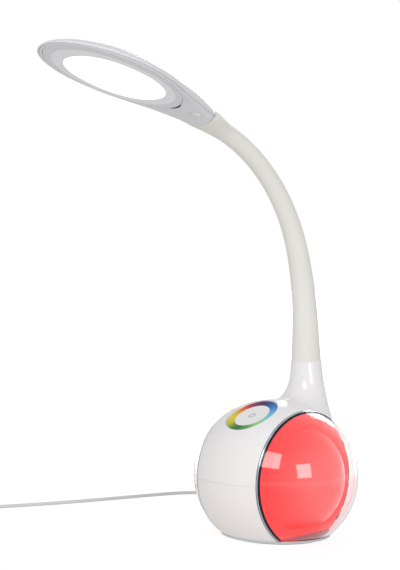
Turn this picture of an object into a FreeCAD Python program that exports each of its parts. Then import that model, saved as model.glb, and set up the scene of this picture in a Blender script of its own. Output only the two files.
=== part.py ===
import FreeCAD, Part
import math
import os
import re
import Sketcher

from FreeCAD import Placement, Rotation, Vector

# A round-bodied desk lamp: a weighted base with a clear dome on each side, a touch
# panel on top, a flexible arm in a soft sleeve, and a flat head with a lit panel.
# The origin is on the table under the centre of the body, -Y is the lamp's front
# and +Z is up. Lengths are in millimetres and angles in degrees.

SIZES = {
    # body: a ball drawn out sideways, cut flat at the foot
    "body_half_width": 76.0,
    "body_radius": 65.0,
    "body_centre_height": 51.5,
    "shell_wall": 2.6,
    "shell_floor": 2.0,
    "seam_gap": 0.3,
    "side_offset": 34.8,
    # foot
    "pad_height": 1.5,
    "pad_inset": 5.0,
    "plate_thickness": 2.0,
    "plate_inset": 0.8,
    "screw_spread": 27.0,
    "screw_depth": 23.0,
    "screw_head_radius": 2.6,
    "screw_head_height": 1.2,
    "screw_radius": 1.2,
    "screw_length": 7.0,
    "screw_slot": 0.7,
    "boss_radius": 3.4,
    "boss_height": 9.0,
    "fit_gap": 0.2,
    # ring and clear dome on each side
    "ring_width": 2.4,
    "ring_band": 3.2,
    "ring_proud": 0.4,
    "ring_sill": 3.0,
    "dome_wall": 2.0,
    # glowing inner dome, its reflector and its lamps
    "glow_inset": 11.2,
    "glow_wall": 1.8,
    "glow_floor_drop": 38.0,
    "flange_thickness": 1.6,
    "reflector_depth": 9.0,
    "reflector_mouth": 37.0,
    "reflector_throat": 22.0,
    "reflector_wall": 1.2,
    "side_board_thickness": 1.6,
    "side_board_rim": 2.0,
    "side_led_size": 5.0,
    "side_led_height": 1.4,
    "side_led_circle": 14.0,
    # touch panel
    "panel_lean": 25.5,
    "panel_distance": 62.6,
    "panel_radius": 15.6,
    "colour_ring_radius": 22.6,
    "tray_radius": 23.4,
    "tray_floor": 1.2,
    "tray_rim": 1.9,
    "touch_disc_thickness": 1.7,
    "seat_width": 5.6,
    "seat_thickness": 3.2,
    "touch_board_thickness": 1.6,
    # neck that rises from the back of the upper shell
    "neck_offset": 38.4,
    "neck_top_height": 147.5,
    "neck_radius": 13.1,
    "neck_foot_radius": 15.0,
    "neck_length": 65.0,
    "neck_fillet": 18.0,
    "neck_bore": 10.6,
    "neck_block_radius": 14.2,
    "neck_block_depth": 70.0,
    "bush_length": 46.0,
    "bush_flange": 3.0,
    "bush_flange_radius": 14.0,
    "nut_height": 6.0,
    "nut_radius": 9.0,
    # arm: a straight root and two bends in the middle plane
    "arm_lean": 2.0,
    "arm_straight": 31.0,
    "lower_bend_radius": 280.0,
    "lower_bend_end": 15.4,
    "upper_bend_radius": 152.0,
    "head_tilt": 17.6,
    "side_knuckle": 22.0,
    "lower_knuckle": 62.0,
    "middle_knuckle": 140.0,
    "upper_knuckle": 212.0,
    "core_radius": 3.6,
    "ball_radius": 4.6,
    "cup_gap": 0.3,
    "cup_radius": 6.0,
    "cup_length": 9.0,
    "core_end": 2.0,
    "core_tip": 20.0,
    "sleeve_bore": 6.8,
    "sleeve_tip_radius": 7.4,
    "sleeve_taper": 90.0,
    "root_sleeve_end": 40.0,
    "lower_sleeve_end": 96.0,
    "middle_sleeve_end": 176.0,
    "flare_length": 18.0,
    "flare_half_width": 14.0,
    "flare_half_height": 9.0,
    "lip_gap": 0.3,
    # head, measured from the centre of the lit panel's face
    "head_axis_height": 5.0,
    "head_front_radius": 54.5,
    "head_front_centre": 8.0,
    "head_side_radius": 132.0,
    "head_side_turn": 32.0,
    "head_waist_radius": 67.7,
    "head_waist_turn": 5.0,
    "head_root_length": 106.0,
    "head_rim_height": 2.5,
    "head_underside": 0.6,
    "head_edge_round": 1.8,
    "head_wall": 1.8,
    "head_floor": 1.6,
    "crown_height": 12.0,
    "light_radius": 41.0,
    "light_thickness": 1.6,
    "bezel_half_length": 56.0,
    "bezel_half_width": 49.5,
    "bezel_shift": 1.0,
    "bezel_thickness": 2.2,
    "guide_thickness": 3.0,
    "guide_gap": 0.1,
    "mirror_thickness": 0.5,
    "strip_thickness": 0.8,
    "back_plate_thickness": 1.0,
    "back_plate_margin": 3.0,
    "slit_width": 1.4,
    "slit_depth": 0.8,
    "slit_offset": 1.6,
    "slit_reach": 11.0,
    "button_radius": 4.4,
    "button_offset": 9.0,
    "button_back": 78.0,
    "button_proud": 0.8,
    "button_travel": 0.6,
    "button_flange": 0.9,
    "button_flange_height": 0.4,
    "switch_size": 6.0,
    "switch_height": 1.6,
    "switch_clearance": 0.1,
    "head_board_length": 22.0,
    "head_board_width": 26.0,
    "head_board_side": 6.0,
    "head_board_back": 73.0,
    "board_thickness": 1.6,
    "post_radius": 1.7,
    "post_inset": 2.2,
    "clamp_width": 18.0,
    "clamp_length": 9.0,
    "clamp_height": 8.0,
    "clamp_back": 96.0,
    "clamp_screw_spread": 6.6,
    # ballast and main board in the base
    "ballast_radius": 38.0,
    "ballast_half_width": 22.0,
    "ballast_height": 25.0,
    "ballast_bevel": 2.0,
    "board_width": 34.0,
    "board_length": 52.0,
    "standoff_height": 6.0,
    "standoff_radius": 2.4,
    "board_edge": 4.0,
    "board_hole": 1.4,
    "capacitor_radius": 4.0,
    "capacitor_height": 11.0,
    "chip_size": 7.0,
    "chip_height": 1.4,
    # cord
    "cord_diameter": 3.2,
    "cord_exit_height": 14.0,
    "boot_seat": 43.0,
    "boot_seat_radius": 7.2,
    "boot_sink": 13.0,
    "boot_length": 22.0,
    "boot_radius": 4.0,
    "boot_tip_radius": 2.4,
    "boot_groove": 0.6,
    "boot_flange_radius": 6.0,
    "boot_flange": 2.0,
    "coil_across": 35.2,
    "coil_turn_gap": 0.55,
    "tail_length": 26.0,
    "plug_length": 22.0,
    "plug_width": 15.6,
    "plug_height": 8.0,
    "plug_round": 1.8,
    "plug_boot_length": 9.0,
    "contact_length": 12.0,
    "contact_width": 12.0,
    "contact_height": 4.5,
    "contact_wall": 0.4,
    "overrun": 5.0,
}
BOOT_RIBS = 5
SIDE_LEDS = 5
COIL_TURNS = 9
COIL_LAYERS = 2

X_AXIS = Vector(1, 0, 0)
Y_AXIS = Vector(0, 1, 0)
Z_AXIS = Vector(0, 0, 1)

doc = FreeCAD.newDocument("desk_lamp")
sheet = doc.addObject("Spreadsheet::Sheet", "Sizes")
for row, (alias, number) in enumerate(SIZES.items(), start=1):
    sheet.set("A%d" % row, alias)
    sheet.set("B%d" % row, str(number))
    sheet.setAlias("B%d" % row, alias)
doc.recompute()


def cells(text):
    """An expression in plain words, with each size pointed at its cell."""
    return re.sub(r"[a-z_]+", lambda word: "Sizes." + word[0] if word[0] in SIZES else word[0], text)


def size(text):
    """The value of a size, or of an expression in sizes."""
    return float(sheet.evalExpression(cells(text)))


def bind(piece, **sizes):
    """Ties a piece's own properties to the sheet."""
    for name, text in sizes.items():
        piece.setExpression(name, cells(text))


def seat(piece, x="0", y="0", z="0"):
    """Ties a piece's place to the sheet."""
    for name, text in (("x", x), ("y", y), ("z", z)):
        piece.setExpression("Placement.Base." + name, cells(text))


nodes = []


def node(piece, label):
    """Keeps a finished sub-part under the name that it goes by."""
    piece.Label = label
    nodes.append(piece)
    return piece


def feature(label, shape, placement=None):
    """A sub-part whose shape is worked out from the sheet."""
    piece = doc.addObject("Part::Feature", label)
    piece.Shape = shape
    if placement is not None:
        piece.Placement = placement
    return node(piece, label)


def boolean(kind, name, base, tool):
    result = doc.addObject("Part::" + kind, name)
    result.Base = base
    result.Tool = tool
    return result


def group(name, pieces):
    result = doc.addObject("Part::Compound", name)
    result.Links = pieces
    return result


def block(name, wide, deep, high, at):
    """A box centred in X and Y, standing on the height at[2]."""
    piece = doc.addObject("Part::Box", name)
    bind(piece, Length=wide, Width=deep, Height=high)
    seat(piece, "%s - (%s) / 2" % (at[0], wide), "%s - (%s) / 2" % (at[1], deep), at[2])
    return piece


def rod(name, radius, height, at):
    piece = doc.addObject("Part::Cylinder", name)
    bind(piece, Radius=radius, Height=height)
    seat(piece, *at)
    return piece


def sketch_on(body, name, role):
    sketch = body.newObject("Sketcher::SketchObject", name)
    plane = next(item for item in body.Origin.OriginFeatures if item.Role == role)
    sketch.AttachmentSupport = [(plane, "")]
    sketch.MapMode = "FlatFace"
    return sketch


def pin_point(sketch, line, across, up):
    """Ties the start of a line to its distances from the sketch's origin."""
    for kind, text, axis in (("DistanceX", across, -2), ("DistanceY", up, -1)):
        if text == "0":
            sketch.addConstraint(Sketcher.Constraint("PointOnObject", line, 1, axis))
        else:
            number = sketch.addConstraint(Sketcher.Constraint(kind, -1, 1, line, 1, size(text)))
            sketch.setExpression("Constraints[%d]" % number, cells(text))


def polygon(sketch, corners):
    """A closed outline of straight lines through corners given as expressions."""
    places = [Vector(size(across), size(up), 0) for across, up in corners]
    for i, place in enumerate(places):
        sketch.addGeometry(Part.LineSegment(place, places[(i + 1) % len(places)]), False)
    for i, (across, up) in enumerate(corners):
        sketch.addConstraint(Sketcher.Constraint("Coincident", i, 2, (i + 1) % len(corners), 1))
        pin_point(sketch, i, across, up)


def lathe(name, profile):
    """A turned body: (radius, height) corners, joined by straight lines, spun about Z."""
    body = doc.addObject("PartDesign::Body", name)
    sketch = sketch_on(body, name + "_profile", "XZ_Plane")
    polygon(sketch, profile)
    turn = body.newObject("PartDesign::Revolution", name + "_turn")
    turn.Profile = sketch
    turn.ReferenceAxis = (sketch, ["V_Axis"])
    turn.Angle = 360
    return body


def padded(name, corners, thickness, holes=()):
    """A flat body: an outline in the XY plane, with round holes, given a thickness."""
    body = doc.addObject("PartDesign::Body", name)
    sketch = sketch_on(body, name + "_outline", "XY_Plane")
    polygon(sketch, corners)
    for across, up, radius in holes:
        place = Vector(size(across), size(up), 0)
        circle = sketch.addGeometry(Part.Circle(place, Z_AXIS, size(radius)), False)
        for kind, text in (("DistanceX", across), ("DistanceY", up)):
            number = sketch.addConstraint(Sketcher.Constraint(kind, -1, 1, circle, 3, size(text)))
            sketch.setExpression("Constraints[%d]" % number, cells(text))
        number = sketch.addConstraint(Sketcher.Constraint("Radius", circle, size(radius)))
        sketch.setExpression("Constraints[%d]" % number, cells(radius))
    pad = body.newObject("PartDesign::Pad", name + "_pad")
    pad.Profile = sketch
    bind(pad, Length=thickness)
    return body


# The body's outline. Every shell and dome is a slice of a ball drawn out along X.

centre = Vector(0, 0, size("body_centre_height"))
shell_bottom = size("pad_height + plate_thickness")
side = size("side_offset")
ring_outside = size("side_offset + ring_width")
reach = size("body_half_width + overrun")


def long_ball(half_width, radius):
    ellipse = Part.Ellipse(Vector(), half_width, radius)
    arc = Part.ArcOfEllipse(ellipse, 0, math.pi).toShape()
    axis = Part.LineSegment(Vector(-half_width, 0, 0), Vector(half_width, 0, 0)).toShape()
    face = Part.Face(Part.Wire([arc, axis]))
    return face.revolve(Vector(), X_AXIS, 360).translated(centre)


def inset_ball(depth):
    """The body's outline, drawn in by a wall's depth."""
    return long_ball(size("body_half_width") - depth, size("body_radius") - depth)


def slab(left, right, low, high=None):
    """All that lies between two planes in X, above one height and below another."""
    top = centre.z + reach if high is None else high
    return Part.makeBox(right - left, 2 * reach, top - low, Vector(left, -reach, low))


def one_solid(shape):
    """The single solid that a boolean leaves."""
    shape = shape.removeSplitter()
    if len(shape.Solids) != 1:
        raise ValueError("a sub-part came out as %d solids" % len(shape.Solids))
    return shape.Solids[0]


# The arm's middle line: heading angles are measured from vertical, towards the front.

lean = size("arm_lean")
arm_stretches = [
    (0.0, lean, size("arm_straight")),
    (size("lower_bend_radius"), size("lower_bend_end"), None),
    (size("upper_bend_radius"), size("90 - head_tilt"), None),
]


def heading(angle):
    return Vector(0, -math.sin(math.radians(angle)), math.cos(math.radians(angle)))


def arm_ends():
    """(start distance, start point, start angle, end angle, bend radius) of each stretch."""
    ends = []
    point = Vector(0, size("neck_offset"), size("neck_top_height"))
    angle = lean
    travelled = 0.0
    for radius, last, length in arm_stretches:
        ends.append((travelled, point, angle, last, radius))
        if radius:
            length = radius * math.radians(last - angle)
            side_step = radius * (math.cos(math.radians(angle)) - math.cos(math.radians(last)))
            climb = radius * (math.sin(math.radians(last)) - math.sin(math.radians(angle)))
            point = point + Vector(0, -side_step, climb)
        else:
            point = point + heading(angle) * length
        angle = last
        travelled += length
    ends.append((travelled, point, angle, angle, 0.0))
    return ends


arm_marks = arm_ends()
arm_length = arm_marks[-1][0]
arm_end = arm_marks[-1][1]


def arm_at(distance):
    """Point and heading angle of the middle line, at a distance from the neck's top."""
    start, point, angle, last, radius = next(
        mark for mark in reversed(arm_marks) if distance >= mark[0] or mark is arm_marks[0])
    if not radius:
        return point + heading(angle) * (distance - start), angle
    turned = angle + math.degrees((distance - start) / radius)
    side_step = radius * (math.cos(math.radians(angle)) - math.cos(math.radians(turned)))
    climb = radius * (math.sin(math.radians(turned)) - math.sin(math.radians(angle)))
    return point + Vector(0, -side_step, climb), turned


def arm_place(distance):
    """A frame on the middle line, with Z along the arm."""
    point, angle = arm_at(distance)
    return Placement(point, Rotation(X_AXIS, angle))


def arm_wire(first, last):
    """The middle line from one distance to another, as straight edges and arcs."""
    stops = [first] + [mark[0] for mark in arm_marks if first < mark[0] < last] + [last]
    edges = []
    for low, high in zip(stops, stops[1:]):
        ends = [arm_at(low)[0], arm_at((low + high) / 2)[0], arm_at(high)[0]]
        chord = ends[2] - ends[0]
        bow = (ends[1] - ends[0]).cross(chord).Length / chord.Length
        straight = bow < chord.Length * 1e-6
        edge = Part.LineSegment(ends[0], ends[2]) if straight else Part.Arc(*ends)
        edges.append(edge.toShape())
    return Part.Wire(edges)


def disc_wire(radius, placement):
    circle = Part.makeCircle(radius)
    circle.Placement = placement
    return Part.Wire([circle])


# The upper shell: the top half of the middle band, with the neck drawn up from its
# back. It holds the touch panel's seat and the solid block that carries the arm.

neck_top = Vector(0, size("neck_offset"), size("neck_top_height"))
neck_axis = heading(lean)
neck_foot = neck_top - neck_axis * size("neck_length")


def neck_radius_at(height):
    share = height / size("neck_length")
    return size("neck_foot_radius") + (size("neck_radius") - size("neck_foot_radius")) * share


def meets_neck(edge):
    """True for the edges where the neck's cone leaves the body's outline."""
    for share in (0.1, 0.35, 0.65, 0.9):
        point = edge.valueAt(edge.FirstParameter + (edge.LastParameter - edge.FirstParameter) * share)
        height = (point - neck_foot).dot(neck_axis)
        distance = (point - neck_foot - neck_axis * height).Length
        if abs(distance - neck_radius_at(height)) > size("fit_gap") / 2:
            return False
        stretch = Vector(point.x / size("body_half_width"), point.y / size("body_radius"),
                         (point.z - centre.z) / size("body_radius"))
        if abs(stretch.Length - 1) > 0.01:
            return False
    return True


def panel_frame(distance):
    """A frame square to the touch panel, at a distance from the body's centre."""
    turn = Rotation(X_AXIS, size("panel_lean"))
    return Placement(centre + turn.multVec(Z_AXIS * distance), turn)


def panel_rod(radius, low, high):
    piece = Part.makeCylinder(radius, high - low)
    piece.Placement = panel_frame(low)
    return piece


tray_bottom = size("panel_distance - tray_floor - tray_rim")

outline = long_ball(size("body_half_width"), size("body_radius"))
band = outline.common(slab(-side, side, shell_bottom))
neck = Part.makeCone(size("neck_foot_radius"), size("neck_radius"), size("neck_length"), neck_foot, neck_axis)
necked = band.fuse(neck)
necked = necked.makeFillet(size("neck_fillet"), [edge for edge in necked.Edges if meets_neck(edge)])
hollow = inset_ball(size("shell_wall")).common(slab(-reach, reach, shell_bottom + size("shell_floor")))
neck_block = Part.makeCylinder(size("neck_block_radius"), size("neck_block_depth + overrun"),
                               neck_top - neck_axis * size("neck_block_depth"), neck_axis)
bore = Part.makeCylinder(size("neck_bore"), size("neck_block_depth + 2 * overrun"),
                         neck_top - neck_axis * size("neck_block_depth + overrun"), neck_axis)
tray_seat = panel_rod(size("tray_radius + seat_width / 2"), tray_bottom - size("seat_thickness"), tray_bottom)
tray_seat = tray_seat.common(outline)
seat_hole = panel_rod(size("tray_radius - seat_width"), tray_bottom - size("seat_thickness + overrun"),
                      size("body_radius + overrun"))
tray_hole = panel_rod(size("tray_radius + fit_gap"), tray_bottom, size("body_radius + overrun"))
upper = necked.common(slab(-side, side, centre.z + size("seam_gap"), centre.z + 2 * reach))
upper = upper.cut(hollow.cut(neck_block).cut(tray_seat)).cut(bore).cut(seat_hole).cut(tray_hole)
feature("upper_shell", one_solid(upper))

# The lower shell: the bottom half of the band, with a floor, four screw bosses and
# a boss at the back for the cord's boot.

boot_height = size("cord_exit_height")
boot_seat = Part.makeCylinder(size("boot_seat_radius"), reach, Vector(0, size("boot_seat"), boot_height), Y_AXIS)
boot_seat = boot_seat.common(outline).common(slab(-side, side, shell_bottom))
boot_hole = Part.makeCylinder(size("boot_radius + fit_gap"), 2 * reach, Vector(0, 0, boot_height), Y_AXIS)
lower = band.common(slab(-side, side, shell_bottom, centre.z)).cut(hollow).fuse(boot_seat).cut(boot_hole)
corners = [(i * size("screw_spread"), j * size("screw_depth")) for i in (-1, 1) for j in (-1, 1)]
for x, y in corners:
    boss = Part.makeCylinder(size("boss_radius"), size("boss_height + shell_floor"), Vector(x, y, shell_bottom))
    pilot = Part.makeCylinder(size("screw_radius + fit_gap / 4"), size("screw_length + shell_floor"),
                              Vector(x, y, shell_bottom))
    lower = lower.fuse(boss).cut(pilot)
feature("lower_shell", one_solid(lower))

# The base plate under both shells, the rubber foot stuck under it, and the four
# screws that the foot covers.

foot_share = "sqrt(1 - ((body_centre_height - pad_height - plate_thickness) / body_radius)^2)"


def oval_sheet(name, inset, thickness, height):
    """A flat oval sheet that follows the body's outline, drawn in by a margin."""
    curve = doc.addObject("Part::Ellipse", name + "_outline")
    bind(curve, MajorRadius="body_half_width * %s - (%s)" % (foot_share, inset),
         MinorRadius="body_radius * %s - (%s)" % (foot_share, inset))
    seat(curve, z=height)
    sheet_solid = doc.addObject("Part::Extrusion", name + "_solid")
    sheet_solid.Base = curve
    sheet_solid.DirMode = "Custom"
    sheet_solid.Dir = Z_AXIS
    sheet_solid.Solid = True
    bind(sheet_solid, LengthFwd=thickness)
    return sheet_solid


plate_blank = oval_sheet("plate", "plate_inset", "plate_thickness", "pad_height")
plate_cuts = []
for number, (i, j) in enumerate((i, j) for i in (-1, 1) for j in (-1, 1)):
    at = ("%d * screw_spread" % i, "%d * screw_depth" % j)
    plate_cuts.append(rod("plate_hole_%d" % number, "screw_radius + fit_gap", "plate_thickness + overrun",
                          at + ("pad_height - overrun / 2",)))
    plate_cuts.append(rod("plate_sink_%d" % number, "screw_head_radius + fit_gap",
                          "screw_head_height + fit_gap + overrun", at + ("pad_height - overrun",)))
node(boolean("Cut", "drilled_plate", plate_blank, group("plate_cutters", plate_cuts)), "base_plate")
node(oval_sheet("foot", "plate_inset + pad_inset", "pad_height", "0"), "rubber_foot")


def screw(head_radius, head_height, radius, length):
    """A pan screw standing head down on the XY plane, with a crossed recess."""
    head = Part.makeCylinder(head_radius, head_height)
    shank = Part.makeCylinder(radius, length, Vector(0, 0, head_height))
    slot = size("screw_slot")
    bar = Part.makeBox(head_radius, slot, slot, Vector(-head_radius / 2, -slot / 2, 0))
    cross = bar.fuse(bar.rotated(Vector(), Z_AXIS, 90))
    return head.fuse(shank).cut(cross)


head_height = size("screw_head_height")
base_screw = screw(size("screw_head_radius"), head_height, size("screw_radius"), size("screw_length"))
screw_floor = size("pad_height + fit_gap")
feature("base_screws", Part.makeCompound([base_screw.translated(Vector(x, y, screw_floor)) for x, y in corners]))

# Each side: a bright D-shaped ring, a clear dome outside it, and a glowing dome
# inside that with its reflector, lamp board and lamps.

ring_inner = math.sqrt(1 - (side / size("body_half_width")) ** 2) * size("body_radius") - size("ring_band")
sill_top = shell_bottom + size("ring_sill")


def side_rod(radius, low, high):
    return Part.makeCylinder(radius, high - low, Vector(low, 0, centre.z), X_AXIS)


def mirrored(shape):
    return shape.mirror(Vector(), X_AXIS)


ring = inset_ball(-size("ring_proud")).common(slab(side, ring_outside, shell_bottom))
ring = ring.cut(side_rod(ring_inner, 0, reach).common(slab(0, reach, sill_top)))
ring = one_solid(ring)

dome = outline.common(slab(ring_outside, reach, shell_bottom))
dome = dome.cut(inset_ball(size("dome_wall")).common(slab(0, reach, shell_bottom + size("dome_wall"))))
dome = one_solid(dome)

glow_floor = centre.z - size("glow_floor_drop")
flange_low = (side + ring_outside - size("flange_thickness")) / 2
glow = inset_ball(size("glow_inset")).common(slab(flange_low, reach, glow_floor))
flange = side_rod(ring_inner - size("fit_gap"), flange_low, flange_low + size("flange_thickness"))
flange = flange.common(slab(0, reach, sill_top + size("fit_gap")))
glow_hollow = inset_ball(size("glow_inset + glow_wall")).common(slab(0, reach, glow_floor + size("glow_wall")))
glow = one_solid(glow.fuse(flange).cut(glow_hollow))

for label, shape in (("bezel", ring), ("clear_dome", dome), ("glow_dome", glow)):
    feature(label + "_right", shape)
    feature(label + "_left", mirrored(shape))


def turned_to_side(body, facing, offset):
    """Lays a turned body on its side, with its Z axis pointing out along X."""
    body.Placement.Rotation = Rotation(Y_AXIS, 90 * facing)
    seat(body, "%d * (%s)" % (facing, offset), "0", "body_centre_height")


flange_inside = "side_offset + ring_width / 2 - flange_thickness / 2"
for facing, hand in ((1, "right"), (-1, "left")):
    reflector = lathe("reflector_" + hand, [
        ("reflector_throat", "0"), ("reflector_throat + reflector_wall", "0"),
        ("reflector_mouth + reflector_wall", "reflector_depth"), ("reflector_mouth", "reflector_depth")])
    turned_to_side(reflector, facing, flange_inside + " - reflector_depth")
    node(reflector, "reflector_" + hand)
    board = lathe("lamp_board_" + hand, [
        ("0", "0"), ("reflector_throat + side_board_rim", "0"),
        ("reflector_throat + side_board_rim", "side_board_thickness"), ("0", "side_board_thickness")])
    turned_to_side(board, facing, flange_inside + " - reflector_depth - side_board_thickness")
    node(board, "lamp_board_" + hand)

lamp_face = size(flange_inside + " - reflector_depth")
lamp = size("side_led_size")
lamps = []
for i in range(SIDE_LEDS):
    turn = Rotation(X_AXIS, 360.0 * i / SIDE_LEDS)
    at = turn.multVec(Vector(0, 0, size("side_led_circle"))) + centre + X_AXIS * lamp_face
    chip = Part.makeBox(size("side_led_height"), lamp, lamp, at - Vector(0, lamp / 2, lamp / 2))
    lamps += [chip, mirrored(chip)]
feature("colour_lamps", Part.makeCompound(lamps))

# The touch panel: a shallow tray on its seat, with a ring of colours round a plain
# disc, and the sensing board under it.

ring_hole = "panel_radius + fit_gap"
tray = lathe("tray", [
    ("0", "0"), ("tray_radius", "0"), ("tray_radius", "tray_floor + tray_rim"),
    ("colour_ring_radius + fit_gap", "tray_floor + tray_rim"), ("colour_ring_radius + fit_gap", "tray_floor"),
    ("0", "tray_floor")])
colours = lathe("colours", [
    (ring_hole, "0"), ("colour_ring_radius", "0"), ("colour_ring_radius", "touch_disc_thickness"),
    (ring_hole, "touch_disc_thickness")])
disc = lathe("disc", [
    ("0", "0"), ("panel_radius", "0"), ("panel_radius", "touch_disc_thickness"), ("0", "touch_disc_thickness")])
sensor = lathe("sensor", [
    ("0", "0"), ("tray_radius - seat_width - fit_gap", "0"),
    ("tray_radius - seat_width - fit_gap", "touch_board_thickness"), ("0", "touch_board_thickness")])
tray_low = "panel_distance - tray_floor - tray_rim"
for body, label, distance in (
        (tray, "touch_tray", tray_low), (colours, "colour_ring", tray_low + " + tray_floor"),
        (disc, "touch_panel", tray_low + " + tray_floor"),
        (sensor, "touch_board", tray_low + " - touch_board_thickness - fit_gap")):
    body.Placement.Rotation = Rotation(X_AXIS, size("panel_lean"))
    body.setExpression("Placement.Rotation.Angle", cells("panel_lean"))
    seat(body, "0", "-(%s) * sin(panel_lean)" % distance, "body_centre_height + (%s) * cos(panel_lean)" % distance)
    node(body, label)

# Inside the base: an iron weight on the floor, and the main board above it on posts.

floor_top = "pad_height + plate_thickness + shell_floor"
weight_round = lathe("weight_round", [
    ("0", "0"), ("ballast_radius", "0"), ("ballast_radius", "ballast_height - ballast_bevel"),
    ("ballast_radius - ballast_bevel", "ballast_height"), ("0", "ballast_height")])
seat(weight_round, z=floor_top)
weight_width = block("weight_width", "2 * ballast_half_width", "2 * ballast_radius + overrun",
                     "ballast_height + overrun", ("0", "0", floor_top))
node(boolean("Common", "weight", weight_round, weight_width), "ballast")

board_x = "(board_width / 2 - board_edge)"
board_y = "(board_length / 2 - board_edge)"
ballast_top = floor_top + " + ballast_height"
posts = []
holes = []
for number, (i, j) in enumerate((i, j) for i in (-1, 1) for j in (-1, 1)):
    at = ("%d * %s" % (i, board_x), "%d * %s" % (j, board_y), ballast_top)
    posts.append(rod("post_%d" % number, "standoff_radius", "standoff_height", at))
    holes.append((at[0], at[1], "board_hole"))
node(group("posts", posts), "board_posts")
half_x = "board_width / 2"
half_y = "board_length / 2"
main_board = padded("main_board", [
    ("-" + half_x, "-" + half_y), (half_x, "-" + half_y), (half_x, half_y), ("-" + half_x, half_y)],
    "board_thickness", holes)
seat(main_board, z=ballast_top + " + standoff_height")
node(main_board, "main_board")
board_top = ballast_top + " + standoff_height + board_thickness"
parts = [rod("capacitor", "capacitor_radius", "capacitor_height", ("board_width / 4", "board_length / 4", board_top)),
         block("chip", "chip_size", "chip_size", "chip_height", ("-board_width / 6", "0", board_top)),
         block("lead_socket", "2 * chip_size", "chip_size", "3 * chip_height",
               ("0", "-board_length / 3", board_top))]
node(group("board_parts_group", parts), "board_parts")

# The neck's bush is pushed up from inside and carries the arm, and a nut on the
# arm's threaded tail holds both.

bush = lathe("bush", [
    ("core_radius + fit_gap / 2", "0"), ("bush_flange_radius", "0"), ("bush_flange_radius", "bush_flange"),
    ("neck_bore - fit_gap", "bush_flange"), ("neck_bore - fit_gap", "bush_flange + bush_length"),
    ("core_radius + fit_gap / 2", "bush_flange + bush_length")])
bush.Placement = arm_place(-size("neck_block_depth + bush_flange"))
node(bush, "neck_bush")
nut_blank = doc.addObject("Part::Prism", "nut_blank")
nut_blank.Polygon = 6
bind(nut_blank, Circumradius="nut_radius", Height="nut_height")
nut_bore = rod("nut_bore", "core_radius + fit_gap / 2", "nut_height + overrun", ("0", "0", "-overrun / 2"))
nut = boolean("Cut", "nut", nut_blank, nut_bore)
nut.Placement = arm_place(-size("neck_block_depth + bush_flange + nut_height"))
node(nut, "neck_nut")

# The arm's core: stiff links that end in a ball, each held in the next one's cup,
# so that the arm bends where it is pushed and stays there.

knuckles = [size(name) for name in ("side_knuckle", "lower_knuckle", "middle_knuckle", "upper_knuckle")]


def cup():
    """A socket round a ball at the frame's origin, open below and drawn in above."""
    blank = Part.makeCylinder(size("cup_radius"), size("cup_length - core_radius"))
    top = Part.makeCone(size("cup_radius"), size("core_radius"), size("core_radius"),
                        Vector(0, 0, size("cup_length - core_radius")))
    return blank.fuse(top).cut(Part.makeSphere(size("ball_radius + cup_gap")))


def arm_link(first, last, has_cup, has_ball):
    start = first + size("cup_radius") if has_cup else first
    spine = arm_wire(start, last)
    link = spine.makePipeShell([disc_wire(size("core_radius"), arm_place(start))], True, False)
    if has_cup:
        socket = cup()
        socket.Placement = arm_place(first)
        link = link.fuse(socket)
    if has_ball:
        link = link.fuse(Part.makeSphere(size("ball_radius"), arm_at(last)[0]))
    return one_solid(link)


core_tail = size("neck_block_depth + bush_flange + nut_height + core_end")
stops = [-core_tail] + knuckles + [arm_length + size("core_tip")]
link_names = ["arm_core_base", "arm_core_root", "arm_core_lower", "arm_core_middle", "arm_core_tip"]
for i, label in enumerate(link_names):
    feature(label, arm_link(stops[i], stops[i + 1], i > 0, i < len(link_names) - 1))
for i, distance in enumerate(knuckles):
    point, angle = arm_at(distance)
    print("knuckle %d at %.3f %.3f %.3f heading %.2f" % (i, point.x, point.y, point.z, angle))

# The soft sleeve tapers from the neck to the head. It is one moulding, cut here
# into a section for each bend, and its last stretch flattens to meet the head.


def sleeve_radius(distance):
    spread = size("neck_radius") - size("sleeve_tip_radius")
    return size("sleeve_tip_radius") + spread * math.exp(-distance / size("sleeve_taper"))


def oval_wire(half_width, half_height, placement):
    curve = Part.Ellipse(Vector(), half_width, half_height).toShape()
    curve.Placement = placement
    return Part.Wire([curve])


SLEEVE_STEPS = 4


def sleeve(first, last, ends_in_flare):
    plain_end = last - size("flare_length") if ends_in_flare else last
    marks = [first + (plain_end - first) * i / SLEEVE_STEPS for i in range(SLEEVE_STEPS + 1)]
    outer = [disc_wire(sleeve_radius(mark), arm_place(mark)) for mark in marks]
    skin = Part.makeLoft(outer, True)
    if ends_in_flare:
        near = (plain_end + last) / 2
        middle_width = (sleeve_radius(near) + size("flare_half_width")) / 2
        middle_height = (sleeve_radius(near) + size("flare_half_height")) / 2
        flare = [disc_wire(sleeve_radius(plain_end), arm_place(plain_end)),
                 oval_wire(middle_width, middle_height, arm_place(near)),
                 oval_wire(size("flare_half_width"), size("flare_half_height"), arm_place(last))]
        skin = skin.fuse(Part.makeLoft(flare, True))
    bore_wire = arm_wire(first - size("overrun"), last + size("overrun"))
    core = bore_wire.makePipeShell([disc_wire(size("sleeve_bore"), arm_place(first - size("overrun")))], True, False)
    return one_solid(skin.cut(core))


sleeve_ends = [0.0, size("root_sleeve_end"), size("lower_sleeve_end"), size("middle_sleeve_end"),
               arm_length - size("lip_gap")]
sleeve_names = ["sleeve_root", "sleeve_lower", "sleeve_middle", "sleeve_upper"]
for i, label in enumerate(sleeve_names):
    feature(label, sleeve(sleeve_ends[i], sleeve_ends[i + 1], i == len(sleeve_names) - 1))

# The head's own frame: the origin is the centre of the lit panel's face, -Y points
# to the tip and +Z out of the crown. The arm enters the root along Y.

head_turn = Rotation(X_AXIS, -size("head_tilt"))
head_root = Vector(0, size("head_root_length"), size("head_axis_height"))
head_frame = Placement(arm_end - head_turn.multVec(head_root), head_turn)
print("head frame at", tuple(round(v, 3) for v in head_frame.Base))


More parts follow.
